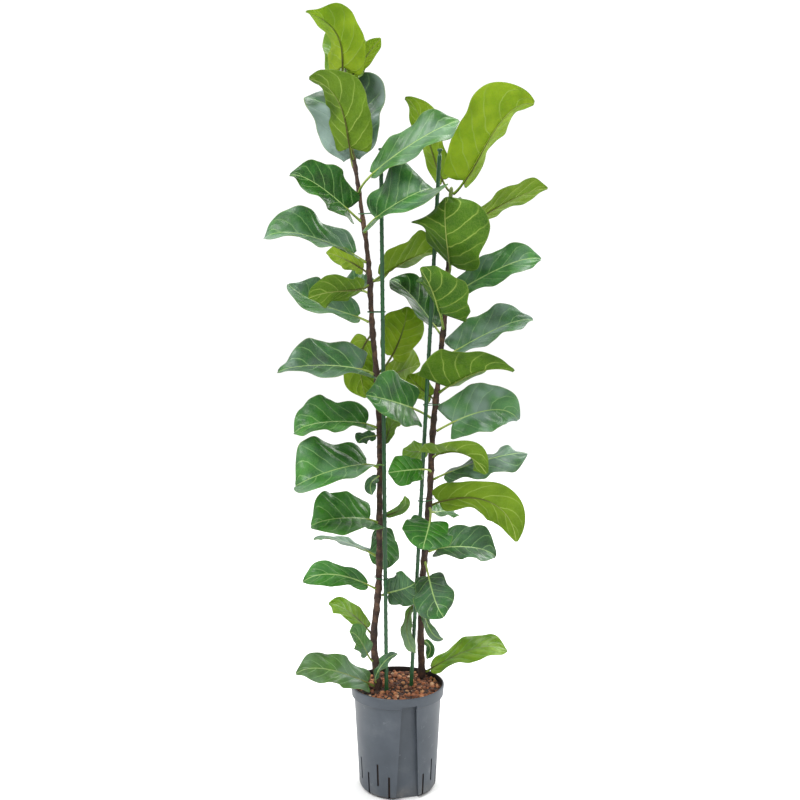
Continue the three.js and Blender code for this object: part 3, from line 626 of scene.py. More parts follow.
def midrib_curve(leaf, side, sunk):
    """Points of a leaf's midrib from the bark to its tip, and how far along each of them lies."""
    x, y, _ = (float(value) for value in stem_axis(side, leaf["z"]))
    axis = np.array([x, y, leaf["z"]], dtype=float)
    mid, tip = np.array(leaf["mid"], dtype=float), np.array(leaf["tip"], dtype=float)
    angle = math.atan2(mid[1] - y, mid[0] - x)
    if "leave" in leaf:
        angle = math.radians(leaf["leave"])
    way = np.array([math.cos(angle), math.sin(angle), 0.0])
    start = axis + way * (float(stem_radius(side, leaf["z"])) + sunk)
    length = np.linalg.norm(start - mid) + np.linalg.norm(mid - tip)
    rise = np.sign(mid[2] - leaf["z"]) * STALK_RISE
    first = start + STALK_RUN * length * unit(way + np.array([0, 0, rise]))
    second = (8 * mid - start - 3 * first - tip) / 3
    turn = math.degrees(math.acos(float(unit(tip - second) @ unit(tip - mid))))
    eased = smooth_step((turn - CURL[0]) / (CURL[1] - CURL[0]))
    second += (tip + (mid - tip) * TIP_RUN - second) * eased
    t = np.linspace(0, 1, ARC_STEPS + 1)[:, None]
    curve = ((1 - t) ** 3 * start + 3 * (1 - t) ** 2 * t * first
             + 3 * (1 - t) * t ** 2 * second + t ** 3 * tip)
    steps = np.linalg.norm(np.diff(curve, axis=0), axis=1)
    return curve, np.concatenate([[0], np.cumsum(steps)])


def on_curve(curve, arc, share):
    """Points and directions of a curve at shares of its length."""
    at = np.asarray(share) * arc[-1]
    points = np.stack([np.interp(at, arc, curve[:, k]) for k in range(3)], axis=-1)
    slope = np.gradient(curve, arc, axis=0)
    ways = np.stack([np.interp(at, arc, slope[:, k]) for k in range(3)], axis=-1)
    return points, unit(ways)


print("longest midrib in mm:", round(max(midrib_curve(leaf, side, SUNK)[1][-1]
                                        for side in LEAF_LISTS for leaf in LEAF_LISTS[side][0])))

# %% [markdown]
# ## Veins
# Side veins leave the midrib about every 30 mm and bend towards the tip. Along any of them the
# number `v * pairs - lean * u ** bend` stays the same, where v runs from the foot of the blade to
# its tip and u from the midrib to the margin. Whole numbers of it are the veins. The same formula
# puckers the mesh here and colours the blade in the material, so that both agree.

# %% Vein formula
VEIN_PAIRS = 5.5
VEIN_LEAN = 1.7
VEIN_BEND = 1.2
VEIN_OFFSET = 0.5  # the veins of the right half leave between those of the left half


def vein_number(u, v):
    """A number that is whole on every side vein."""
    return v * VEIN_PAIRS - VEIN_LEAN * np.abs(u) ** VEIN_BEND + VEIN_OFFSET * (u > 0)


print("vein numbers at the tip:", vein_number(np.array([-1.0, 1.0]), 1.0).round(2))

# %% [markdown]
# ## Folds, waves and puckers
# A leathery leaf is never flat. Its halves fold up along the midrib, its margin goes up and down
# in broad waves with a fine frill on top, and the blade bulges between the side veins. Each is a
# height over the flat blade, and heights can simply be added.

# %% Heights over the flat blade
CALM = 0.25  # share of the blade at its foot where the waves start
CALM_TIP = 0.14  # and at its tip where they end
WAVES = 1.9  # along one margin
FRILL = 0.14  # height of the frill as a share of the waves
FRILL_COUNT = 2.7  # frills to a wave
PUCKER = 0.9  # mm, how far the blade rises between two veins
FULL_PUCKER = 25  # mm of half width from which it rises so far
ROUND_FOLD = 0.004  # rounds the fold beside the midrib
FOLD_FOOT = 0.063  # about its root, so that the fold starts at the midrib


def margin_waves(leaf, number, side, u, v):
    """How far the margin's waves lift each point of a blade, in mm."""
    reach = np.abs(u)
    waves = WAVES + 0.3 * (number % 3)
    phase = np.where(u < 0, 2.4 * number, 2.4 * number + 1.9)
    start = random.Random(f"{side}{number}").uniform(0, 6)
    wave = leaf["wave"] * reach ** 2 * np.sin(2 * math.pi * waves * v + phase)
    frill = FRILL * leaf["wave"] * reach ** 4 * np.sin(
        2 * math.pi * (waves * FRILL_COUNT) * v + phase * 1.7 + start)
    return (wave + frill) * smooth_step(v / CALM) * smooth_step((1 - v) / CALM_TIP)


def blade_rise(leaf, number, side, u, v, half):
    """How far each point of a blade stands over the flat blade, in mm."""
    reach = np.abs(u)
    slope = math.sin(math.radians(leaf["fold"]))
    folded = half * (np.sqrt(reach ** 2 + ROUND_FOLD) - FOLD_FOOT) * slope
    veins = np.cos(2 * math.pi * vein_number(u, v))
    bulge = np.sin(math.pi * np.clip(reach * 1.04, 0, 1)) * np.minimum(1, half / FULL_PUCKER)
    pucker = -PUCKER * veins * bulge * smooth_step(v * 6)
    return folded + margin_waves(leaf, number, side, u, v) + pucker


print("fold of the top leaf at its margin in mm:",
      blade_rise(LEAVES_LEFT[0], 0, "left", np.array([1.0]), np.array([0.0]), 50.0).round(1))

# %% [markdown]
# ## The two faces of a blade
# The blade is a grid of points along the midrib and across it, closer together near the margins,
# where it waves. The row's face direction says which way the grid looks, and it may turn on the
# way to the tip. At the foot the grid reaches back in two lobes beside the stalk. The upper and
# the lower face stand half a millimetre off the grid and come closer at the thin margin.

# %% Blade surface
LEAF_ROWS = 60
LEAF_COLUMNS = 29
CROWD = math.pi / 2.6  # the columns follow the sine of angles up to this one
LOBE = 0.5  # how far a lobe reaches back, as a share of the half width
LOBE_END = 0.3  # share of the blade where the lobes end
HALF_THICK = 0.5
RIB_ROWS = 48
RIB_END = 0.985  # share of the length where the midrib fades into the blade


def leaf_surface(leaf, number, side, sunk):
    """Grids of points for both faces of a blade, and the line of its midrib and stalk."""
    curve, arc = midrib_curve(leaf, side, sunk)
    stalk = leaf.get("stalk", STALK_SHARE)
    v = np.linspace(0, 1, LEAF_ROWS)
    u = np.sin(np.linspace(-1, 1, LEAF_COLUMNS) * CROWD) / math.sin(CROWD)
    spine, forward = on_curve(curve, arc, stalk + (1 - stalk) * v)
    face = unit(leaf["face"])
    look = face + (unit(leaf.get("face_tip", leaf["face"])) - face) * smooth_step(v)[:, None]
    normal = unit(look - forward * (look * forward).sum(1, keepdims=True))
    right = np.cross(forward, normal)
    uu, vv = np.meshgrid(u, v)
    reach = np.abs(uu)
    half = blade_width(leaf, v)[:, None] * np.ones_like(uu)
    rise = blade_rise(leaf, number, side, uu, vv, half)
    shift = -LOBE * half * np.maximum(0, 1 - vv / LOBE_END) * reach ** 1.5
    beside = half * uu * math.cos(math.radians(leaf["fold"]))
    middle = (spine[:, None] + right[:, None] * beside[..., None]
              + normal[:, None] * rise[..., None] + forward[:, None] * shift[..., None])
    out = unit(np.cross(np.gradient(middle, axis=1), np.gradient(middle, axis=0)))
    out *= np.sign((out * normal[:, None]).sum(-1, keepdims=True))
    thick = (HALF_THICK * (1 - 0.6 * reach ** 6))[..., None]
    rib, rib_way = on_curve(curve, arc, np.linspace(0, 1, RIB_ROWS) * RIB_END)
    return dict(upper=middle + out * thick, lower=middle - out * thick, u=uu, v=vv, half=half,
                length=arc[-1], stalk=stalk, rib=rib, way=rib_way, normal=normal)


surface = leaf_surface(LEAVES_LEFT[7], 7, "left", SUNK)
print("one blade:", surface["u"].shape, "points a face on", round(surface["length"]), "mm")

# %% [markdown]
# ## Numbers that a leaf carries
# The material has to know where on the leaf it is. So each point carries two triples. The first
# is its place: millimetres across, millimetres along and the half width there. The second is its
# mark: u, v and whether it lies on the upper face, the lower face or the midrib between them.

# %% Skin of a blade
def blade_skin(surface):
    """Points, places, marks and faces of a blade: both faces and the rim that joins them."""
    rows, columns = surface["u"].shape
    across = surface["u"] * surface["half"]
    along = surface["v"] * (surface["length"] * (1 - surface["stalk"]))
    points, places, marks = [], [], []
    for key, above in (("upper", 1.0), ("lower", 0.0)):
        points.append(surface[key].reshape(-1, 3))
        places.append(np.stack([across, along, surface["half"]], axis=-1).reshape(-1, 3))
        marks.append(np.stack([surface["u"], surface["v"], np.full_like(across, above)],
                              axis=-1).reshape(-1, 3))
    grid = skin_faces(rows, columns, closed_columns=False)
    offset = rows * columns
    faces = grid + [tuple(index + offset for index in face[::-1]) for face in grid]
    rim = [row * columns for row in range(rows)]
    rim += [(rows - 1) * columns + column for column in range(1, columns)]
    rim += [row * columns + columns - 1 for row in range(rows - 2, -1, -1)]
    rim += list(range(columns - 2, 0, -1))
    for here, there in zip(rim, rim[1:] + rim[:1]):
        faces.append((here, there, there + offset, here + offset))
    return points, places, marks, faces


print("faces of one blade:", len(blade_skin(surface)[3]))

# %% [markdown]
# ## Midrib and stalk
# On the real leaf a thick midrib stands out of the underside and goes on as the stalk. A tapering
# rod does both. Under the blade it sinks in until only its lower side shows.

# %% Skin of a midrib
RIB_SIDES = 8
RIB_TAPER = 0.82  # share of its radius that the midrib loses on the way to the tip
RIB_SUNK = 0.35  # mm of the rod's radius that stay under the blade
STALK_FOOT = 0.5  # mm that the stalk is thicker at the stem
STALK_FOOT_RUN = 0.05  # share of the length over which it thins
NO_HALF = 99.0  # half width that the rod's points carry, wider than any blade


def rib_skin(surface, width):
    """Rings, places, marks and faces of the rod; its points run along the leaf, side by side."""
    stalk, way = surface["stalk"], surface["way"]
    share = np.linspace(0, 1, RIB_ROWS) * RIB_END
    on_blade = np.clip((share - stalk) / (1 - stalk), 0, 1)
    radius = np.where(share < stalk, STALK_RADIUS, STALK_RADIUS * (1 - RIB_TAPER * on_blade))
    radius = radius * (width / 100) ** 0.25 + STALK_FOOT * np.exp(-(share / STALK_FOOT_RUN) ** 2)
    facing = np.stack([np.interp(on_blade, np.linspace(0, 1, LEAF_ROWS), surface["normal"][:, k])
                       for k in range(3)], axis=-1)
    facing = unit(facing - way * (facing * way).sum(1, keepdims=True))
    beside = np.cross(way, facing)
    sink = (radius - RIB_SUNK) * smooth_step(on_blade * 8)
    points, places, marks, faces = [], [], [], []
    for k in range(RIB_SIDES):
        angle = 2 * math.pi * k / RIB_SIDES
        points.append(surface["rib"] - facing * sink[:, None]
                      + beside * (radius * math.cos(angle))[:, None]
                      + facing * (radius * math.sin(angle))[:, None])
        places.append(np.stack([radius * math.cos(angle), (share - stalk) * surface["length"],
                                np.full_like(share, NO_HALF)], axis=-1))
        marks.append(np.stack([np.zeros_like(share), on_blade, np.full_like(share, 0.5)], axis=-1))
        here, there = k * RIB_ROWS, (k + 1) % RIB_SIDES * RIB_ROWS
        faces += [(here + row, there + row, there + row + 1, here + row + 1)
                  for row in range(RIB_ROWS - 1)]
    faces += [tuple(k * RIB_ROWS + end for k in range(RIB_SIDES)) for end in (0, RIB_ROWS - 1)]
    return points, places, marks, faces


print("faces of one midrib:", len(rib_skin(surface, 100)[3]))

# %% [markdown]
# ## One whole leaf
# Blade and midrib become one mesh. A third triple is the same for all points of a leaf, and gives
# it its own tone: its age, a number by chance and how much painted sheen it gets, a pale
# reflection painted on its upper face.

# %% Leaf mesh
def leaf_mesh(leaf, number, side, sunk):
    """Points, faces and point numbers of one leaf."""
    surface = leaf_surface(leaf, number, side, sunk)
    blade, rib = blade_skin(surface), rib_skin(surface, leaf["width"])
    points, places, marks = (np.concatenate(blade[k] + rib[k]) for k in range(3))
    offset = 2 * LEAF_ROWS * LEAF_COLUMNS
    faces = blade[3] + [tuple(index + offset for index in face) for face in rib[3]]
    draws = random.Random(f"tone {side}{number}")
    # the last tone is the share of painted sheen: a pale reflection painted on the upper face
    tone = [leaf.get("age", 0.0), draws.random(), leaf.get("silver", 0.2 * draws.random() ** 2)]
    tones = np.tile(tone, (len(points), 1))
    return points * MM, faces, {"leaf_place": places, "leaf_mark": marks, "leaf_tone": tones}


points, faces, numbers = leaf_mesh(LEAVES_LEFT[7], 7, "left", SUNK)
print("one leaf:", len(points), "points and", len(faces), "faces")

# %% [markdown]
# ## Veins in the material
# The vein formula of the mesh is used once more, now on every point of the surface. Its distance
# from the nearest whole number says how far a point is from a side vein. Three steps of that
# distance give the thin vein, the pale border beside it and the groove in which it lies.

# %% Vein masks
VEIN_GAP = 24.0  # mm for one step of the vein number, roughly
WANDER = 0.36  # how far noise bends a vein
WANDER_MIDDLE = 0.18  # and the middle of that


def vein_masks(finish, u, v, half, place):
    """How much of a side vein, of its pale border and of its groove a point has, from 0 to 1."""
    reach = abs(u)
    right = u.math("GREATER_THAN", 0.0)
    wander = finish.noise(place, 0.05, detail=2.0) * WANDER
    line = (v * VEIN_PAIRS - (reach ** VEIN_BEND) * VEIN_LEAN + right * VEIN_OFFSET
            + wander - WANDER_MIDDLE)
    beside = line.nearest_line() * VEIN_GAP
    vein = 1.0 - beside.ease(0.3, 1.2)
    vein = vein * (1.0 - reach.ease(0.6, 0.98) * 0.8) * half.ease(4.0, 14.0)
    return vein, 1.0 - beside.ease(0.2, 4.0), 1.0 - beside.ease(0.2, 3.4)


print("mm between side veins:", VEIN_GAP)

# %% [markdown]
# ## Colours of the two faces
# The upper face is dark green, with pale side veins and a border of lighter green beside them.
# On some leaves a pale grey-green sheen is painted on it in patches, a painted reflection. The
# underside is lighter and more yellow.
# Young leaves are yellow-green on both faces. So each face is mixed from an old and a young
# colour, and a slow noise takes both through lighter and darker parts.

# %% Face colours
def upper_colour(finish, place, cloud, tones, masks):
    """The colour of the upper face, with a painted sheen in patches."""
    age, chance, silver = tones
    vein, border, fine = masks
    old = finish.ramp(cloud + (chance - 0.5) * 0.35, (0.25, colour(14, 56, 14)),
                      (0.5, colour(26, 90, 20)), (0.75, colour(54, 120, 28)))
    young = finish.ramp(cloud, (0.3, colour(96, 136, 22)), (0.7, colour(142, 170, 44)))
    shade = finish.blend(age.ease(0.1, 1.1), old, young)
    shade = finish.blend(fine * 0.12, shade, colour(96, 140, 60))
    shade = finish.blend(border * 0.16, shade, colour(90, 142, 62))
    shade = finish.blend(vein * 0.5, shade, colour(146, 188, 112))
    # painted sheen: a pale grey-green reflection painted in patches on the upper face
    sheen_patch = finish.noise(place, 0.016, detail=2.0).ease(0.42, 0.62)
    return finish.blend((silver * (sheen_patch * 0.9 + 0.3)).least(0.85), shade, colour(138, 160, 154))


def under_colour(finish, cloud, age, masks):
    """The colour of the underside."""
    vein, border, fine = masks
    old = finish.ramp(cloud, (0.3, colour(32, 78, 10)), (0.7, colour(62, 106, 18)))
    young = finish.ramp(cloud, (0.3, colour(122, 150, 14)), (0.7, colour(158, 180, 36)))
    shade = finish.blend(age.ease(0.2, 1.05), old, young)
    shade = finish.blend(fine * 0.2, shade, colour(126, 156, 62))
    shade = finish.blend(border * 0.15, shade, colour(130, 160, 60))
    return finish.blend(vein * 0.55, shade, colour(170, 190, 92))


# the pale colour of the painted sheen, as light
print("silvery bloom as light:", [round(part, 3) for part in colour(138, 160, 154)[:3]])

# %% [markdown]
# ## The look of a leaf
# Now the parts come together. The midrib is pale, and at the foot of a young one red-brown. Finer
# veins make a net, and the cells of a Voronoi texture have just such borders. The upper face is
# waxy, so it gets a thin coat, and the underside is duller. Light also passes through a thin
# blade. A translucent shader does that, mixed in at a twentieth for an old leaf and at a third
# for a young one.

# %% Leaf material
def tone_shift(finish, tone):
    """Moves the patterns of every leaf somewhere else, so that no two look alike."""
    values = {"Vector": tone, "Scale": 900.0}
    return finish.node("ShaderNodeVectorMath", {"operation": "SCALE"}, values)


def leaf_material(name):
    finish = Finish(name)
    place, mark, tone = (finish.triple(key) for key in ("leaf_place", "leaf_mark", "leaf_tone"))
    across, half = finish.part(place, 0), finish.part(place, 2)
    u, v, above = (finish.part(mark, k) for k in range(3))
    tones = [finish.part(tone, k) for k in range(3)]
    age = tones[0]
    upper = above.ease(0.55, 0.95)
    shifted = [place, tone_shift(finish, tone)]
    place = finish.node("ShaderNodeVectorMath", {"operation": "ADD"}, shifted)
    vein, border, groove = vein_masks(finish, u, v, half, place)
    rib_width = 1.7 - v * 1.2
    midrib = 1.0 - (abs(across) - rib_width).ease(-0.6, 0.5)
    net = finish.node("ShaderNodeTexVoronoi", {"feature": "DISTANCE_TO_EDGE"},
                      {"Vector": place, "Scale": 0.2})
    masks = (vein, border, (1.0 - net.ease(0.0, 0.12)) * (1.0 - midrib))
    cloud = finish.noise(place, 0.03, detail=4.0, roughness=0.6)
    speckle = finish.noise(place, 0.6, detail=2.0)
    dapple = finish.noise(place, 0.012, detail=2.0)

    blade = finish.blend(upper, under_colour(finish, cloud, age, masks),
                         upper_colour(finish, place, cloud, tones, masks))
    pale = finish.blend(upper, colour(160, 178, 92), colour(158, 190, 116))
    brown = (1.0 - v.ease(0.2, 1.0)) * age.ease(0.25, 0.5)
    shade = finish.blend(midrib, blade, finish.blend(brown * 0.92, pale, colour(66, 44, 24)))
    shade = finish.blend((speckle - 0.45) * 0.25, shade, colour(190, 205, 120))
    shade = finish.blend(dapple.ease(0.45, 0.7) * 0.35, shade, colour(70, 104, 46), how="MULTIPLY")
    edge = abs(u).ease(0.965, 1.0) * (1.0 - midrib)
    shade = finish.blend(edge * 0.4, shade, colour(150, 170, 84))

    relief = (groove * -0.0006 + net.ease(0.0, 0.2) * 0.00014) * (upper * 2.0 - 1.0)
    relief = relief + speckle * 0.00005 + finish.noise(place, 0.045, detail=2.0) * 0.004
    finish.surface(base_color=shade, roughness=0.5 - upper * 0.2 + speckle * 0.08 + age * 0.1,
                   normal=finish.bump(relief, strength=0.85), specular_ior_level=0.16,
                   coat_weight=upper * 0.2, coat_roughness=0.22)
    finish.let_light_through(0.05 + age * 0.27, colour(128, 184, 18))
    return finish.material


leaf_finish = leaf_material("leaf")
print("leaf material nodes:", len(leaf_finish.node_tree.nodes))

# %% [markdown]
# ## All the leaves
# Now every row of the lists becomes a leaf. Each takes the place of its own imported solid, and
# the sprigs stand for parts of the stem that they grow from.

# %% Make the leaves
FIRST_SPRIG = 60  # sprigs are numbered from here, clear of the leaves


def add_leaf(name, leaf, number, side, sunk, replaced):
    points, faces, numbers = leaf_mesh(leaf, number, side, sunk)
    return make_piece(name, points, faces, leaf_finish, replaced, numbers)


made_leaves = []
for side, (leaves, sprigs) in LEAF_LISTS.items():
    for index, leaf in enumerate(leaves):
        node = f"leaf_{side}_{index + 1:02d}"
        made_leaves.append(add_leaf(node + "_fine", leaf, index, side, SUNK, [node]))
    for index, leaf in enumerate(sprigs):
        name = f"sprig_{side}_{index + 1:02d}"
        number = FIRST_SPRIG + index
        made_leaves.append(add_leaf(name, leaf, number, side, SPRIG_SUNK, [f"stem_{side}"]))
print("leaf pieces:", len(made_leaves))

# %% [markdown]
# ## Bark
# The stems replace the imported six-sided ones, with a ring of points every 3 mm. Waves of many
# lengths push the points in and out for knobbly bark. Old leaf scars are low ridges that run
# round the stem at uneven heights.

# %% Bark relief
STEM_SIDES = 24
SCAR_GAP = (11, 26)  # mm between old leaf scars
SCAR_FREE = (20.0, 60)  # mm without scars at the foot and at the top
SCAR_RIDGE = (0.25, 0.7)
SCAR_SLANT = (-3, 3)  # mm that a scar climbs on one side
SCAR_THICK = 1.4
KNOBS = 30  # how many waves add up to the knobbly bark
KNOB_RISE = 0.09


def bark_relief(side, bottom, top, zz, aa):
    """How far scars and knobs stand out of a stem, at heights zz and angles aa."""
    draws = random.Random(f"bark {side}")
    scars = []
    height = bottom + SCAR_FREE[0]
    while height < top - SCAR_FREE[1]:
        scars.append((height, draws.uniform(*SCAR_RIDGE), draws.uniform(0, 2 * math.pi),
                      draws.uniform(*SCAR_SLANT)))
        height += draws.uniform(*SCAR_GAP)
    grown = np.zeros_like(zz)
    for height, ridge, turn, slant in scars:
        level = height + slant * np.cos(aa - turn)
        grown += ridge * np.exp(-((zz - level) / SCAR_THICK) ** 2)
    for _ in range(KNOBS):
        wave = draws.uniform(0.02, 0.35)
        grown += KNOB_RISE * np.sin(zz * wave + draws.randint(1, 4) * aa + draws.uniform(0, 6))
    return grown


sample_z, sample_a = np.meshgrid(np.arange(200.0, 300.0), ring_angles(STEM_SIDES), indexing="ij")
print("greatest relief in mm:", bark_relief("left", 90, 1343, sample_z, sample_a).max().round(2))

# %% [markdown]
# ## The stems
# The relief is added to the radius, less of it on the young green part. The straight runs of the
# axis are rounded by an average over neighbouring rings.

# %% Stem skins
STEM_STEP = 3.0
AXIS_BLUR = 12  # rings on either side over which the axis is smoothed
GREEN_TOP = 220  # mm under the top where the bark starts to turn green
GREEN_RUN = 180  # mm over which it turns
YOUNG_CALM = 0.6  # share of the relief that green bark doesn't have
TIP_SHARE = 0.55  # the last ring is so much narrower


def stem_skin(side):
    """Points, faces and point numbers of one stem."""
    bottom, top = STEM_ROUTES[side][0][2], STEM_ROUTES[side][-1][2]
    z = np.linspace(bottom, top, int((top - bottom) / STEM_STEP))
    blend = np.exp(-np.arange(-AXIS_BLUR, AXIS_BLUR + 1) ** 2 / 50.0)
    blend /= blend.sum()
    x, y = (np.convolve(np.pad(line, AXIS_BLUR, mode="edge"), blend, mode="valid")
            for line in stem_axis(side, z)[:2])
    zz, aa = np.meshgrid(z, ring_angles(STEM_SIDES), indexing="ij")
    young = smooth_step((zz - (top - GREEN_TOP)) / GREEN_RUN)
    relief = bark_relief(side, bottom, top, zz, aa)
    full = stem_radius(side, z)[:, None] + relief * (1 - YOUNG_CALM * young)
    full[-1] *= TIP_SHARE
    numbers = {"stem_place": np.stack([aa, zz, young], axis=-1).reshape(-1, 3)}
    return upright_rings(x, y, zz, aa, full), capped(len(z), STEM_SIDES), numbers


stem_skins = {side: stem_skin(side) for side in STEM_ROUTES}
for side, (points, _, _) in stem_skins.items():
    print("bark", side, len(points), "points")

# %% [markdown]
# Bark is dark brown with lighter, broken patches. Towards the top it gives way to the green of a
# young shoot, and a noise frays the border between the two.

# %% Bark material
def bark_material():
    finish = Finish("bark")
    where = finish.place()
    young = finish.part(finish.triple("stem_place"), 2)
    broad = finish.noise(where, 60.0, detail=4.0, roughness=0.65)
    fine = finish.noise(where, 420.0, detail=3.0, roughness=0.7)
    brown = finish.ramp(broad, (0.3, colour(30, 19, 14)), (0.5, colour(58, 38, 27)),
                        (0.72, colour(104, 76, 54)))
    green = finish.ramp(broad, (0.3, colour(84, 104, 44)), (0.7, colour(128, 146, 62)))
    patches = (young + (broad - 0.5) * 0.9).ease(0.2, 0.8)
    shade = finish.blend(patches, brown, green)
    shade = finish.blend(fine.ease(0.6, 0.75) * 0.45, shade, colour(160, 136, 108))
    relief = broad * 0.0008 + fine * 0.0003
    return finish.surface(base_color=shade, roughness=0.75 - young * 0.2,
                          normal=finish.bump(relief, strength=0.8))


bark = bark_material()
for side, (points, faces, numbers) in stem_skins.items():
    make_piece(f"bark_{side}", points, faces, bark, [f"stem_{side}"], numbers)
print("bark material nodes:", len(bark.node_tree.nodes))

# %% [markdown]
# ## A grey bud
# Near the top of the right stem a closed bud stands on a short stalk beside the upper leaves. Its
# outer scales have dried to grey. Rings along its own axis make it, and they are drawn closer
# together than the few that the list names.

# %% The bud
BUD = [
    # x, y, z, radius
    (94, 18, 1088, 1.5), (106, 15, 1098, 2), (113, 13, 1106, 2.2), (115, 12, 1110, 4.6),
    (116, 12, 1117, 5), (116, 12, 1122, 3.4), (116, 12, 1125, 1),
]
BUD_RINGS = 48
BUD_SIDES = 20
BUD_SCALES = 3  # ridges round the bud
SCALE_RISE = 0.04


def bud_skin():
    """Points and faces of the bud with its stalk."""
    at = np.linspace(0, len(BUD) - 1, BUD_RINGS)
    x, y, z, radius = (through(list(enumerate(column)), at) for column in zip(*BUD))
    zz, aa = np.meshgrid(z, ring_angles(BUD_SIDES), indexing="ij")
    full = radius[:, None] * (1 + SCALE_RISE * np.cos(BUD_SCALES * aa + 0.5 * zz))
    return upright_rings(x, y, zz, aa, full), capped(BUD_RINGS, BUD_SIDES)


def bud_material():
    finish = Finish("bud_scales")
    where = finish.place()
    broad = finish.noise(where, 150.0, detail=3.0)
    fine = finish.noise(where, 700.0, detail=2.0)
    shade = finish.ramp(broad, (0.3, colour(118, 120, 108)), (0.55, colour(152, 156, 146)),
                        (0.8, colour(178, 180, 170)))
    shade = finish.blend(fine.ease(0.55, 0.75) * 0.4, shade, colour(108, 96, 74))
    return finish.surface(base_color=shade, roughness=0.8,
                          normal=finish.bump(fine * 0.0003, strength=0.7))


points, faces = bud_skin()
make_piece("bud_right", points, faces, bud_material(), ["stem_right"])
print("bud:", len(points), "points")

# %% [markdown]
# ## Stakes
# The stakes are rods with a green plastic coat. Rows of small nubs keep a tied stem from sliding
# down, and a small cap closes the top. Each nub is a bump on the rod, with its height given by
# how far a point is from the middle of the nub along the rod and round it.

# %% Stake skins
SOIL_LEVEL = 193.0
STAKE_RADIUS = 3.7
STAKE_SIDES = 24
STAKE_STEP = 1.5
STAKES = {
    "left": {"foot": (-21, -27), "head": (-30, -24), "top": 1208},
    "right": {"foot": (26, 0), "head": (78, 3), "top": 1211},
}
POINT = [(12, 0.4), (20, 1.0)]  # height and share of the radius
CAP = [  # mm under the top and share of the radius
    (12.5, 1.0), (11.5, 0.72), (5.2, 0.7), (3.6, 1.3), (1.6, 1.36), (0.4, 1.12), (0, 0.5),
]
BODY = (22, 13)  # mm: height of the first ring with nubs, and how far under the top they end
NUB_FREE = 14  # mm without nubs under the top
NUB_GAP = 16.0
NUB_RISE = 0.5
NUB_LONG = 1.6
NUB_WIDE = 1.3
QUARTER = math.pi / 2  # four rows of nubs run along a stake


def stake_axis(side, z):
    """x and y of the middle of a stake at heights z."""
    stake = STAKES[side]
    share = (np.asarray(z, dtype=float) - SOIL_LEVEL) / (stake["top"] - SOIL_LEVEL)
    return [stake["foot"][k] + (stake["head"][k] - stake["foot"][k]) * share for k in (0, 1)]


def stake_skin(side):
    """Points and faces of one stake."""
    top = STAKES[side]["top"]
    profile = POINT + [(top - below, share) for below, share in CAP]
    body = np.arange(BODY[0], top - BODY[1], STAKE_STEP)
    z = np.unique(np.concatenate([[height for height, _ in profile], body]))
    radius = STAKE_RADIUS * np.interp(z, *zip(*profile))
    zz, aa = np.meshgrid(z, ring_angles(STAKE_SIDES), indexing="ij")
    near = np.abs((zz / NUB_GAP + 0.25 * np.round(aa / QUARTER)) % 1 - 0.5) * NUB_GAP
    turn = np.abs((aa / QUARTER + 0.5) % 1 - 0.5) * QUARTER * STAKE_RADIUS
    nubs = NUB_RISE * np.exp(-(near / NUB_LONG) ** 2 - (turn / NUB_WIDE) ** 2)
    nubs *= zz < top - NUB_FREE
    x, y = stake_axis(side, z)
    return upright_rings(x, y, zz, aa, radius[:, None] + nubs), capped(len(z), STAKE_SIDES)


print("left stake, x and y at the soil and at the top:", stake_axis("left", [SOIL_LEVEL, 1208]))

# %% [markdown]
# The coat is dark green and glossy, with pale grime in patches and a very fine grain.

# %% Make the stakes
def coat_material():
    finish = Finish("stake_coating")
    where = finish.place()
    grime = finish.noise(where, 25.0, detail=4.0)
    fine = finish.noise(where, 900.0, detail=2.0)
    shade = finish.ramp(grime, (0.3, colour(14, 58, 26)), (0.6, colour(24, 78, 36)),
                        (0.8, colour(50, 104, 58)))
    return finish.surface(base_color=shade, roughness=0.34 + fine * 0.12,
                          normal=finish.bump(fine * 0.0001, strength=0.6))


coat = coat_material()
for side in STAKES:
    points, faces = stake_skin(side)
    make_piece(f"stake_{side}_nubbed", points, faces, coat, [f"stake_{side}"])
    print("stake", side, len(points), "points")

# %% [markdown]
# ## Ties
# A tie is a thin coated wire that runs once round stem and stake and is twisted shut. A wire is a
# ring of points carried along a path, and each ring stands square to the path there.

# %% Wire
WIRE = 0.9  # radius
WIRE_SIDES = 10
ALMOST_UP = (0.013, 0.007, 1.0)  # no piece of wire runs exactly this way


def rod(path, radius, closed=False):
    """A round wire along a path of points."""
    path = np.asarray(path, dtype=float)
    if closed:
        ways = unit(np.roll(path, -1, axis=0) - np.roll(path, 1, axis=0))
    else:
        ways = unit(np.gradient(path, axis=0))
    across = unit(np.cross(ways, ALMOST_UP))
    above = np.cross(across, ways)
    points = []
    for place, a, b in zip(path, across, above):
        for k in range(WIRE_SIDES):
            angle = 2 * math.pi * k / WIRE_SIDES
            points.append(place + radius * (a * math.cos(angle) + b * math.sin(angle)))
    if closed:
        return points, skin_faces(len(path), WIRE_SIDES, closed_rows=True)
    return points, capped(len(path), WIRE_SIDES)


print("faces of a straight wire:", len(rod([(0, 0, 0), (1, 0, 0)], WIRE)[1]))

# %% [markdown]
# ## Round stem and stake
# The loop follows the two rods like a belt round two wheels: in every direction the rod that
# reaches further holds the wire. Its two ends are twisted together at the front, where they run
# down and away from the stem.

# %% Tie paths
LOOP_STEPS = 72
LOOP_TILT = 1.1
STEM_CLEAR = 0.6  # mm between the wire and the stem
STAKE_CLEAR = 0.2
TWIST_STEPS = 39
TWIST_LENGTH = 11.0
TWIST_TURNS = 3.0
TWIST_LEAN = 0.35  # mm that the twist runs forwards for every mm down


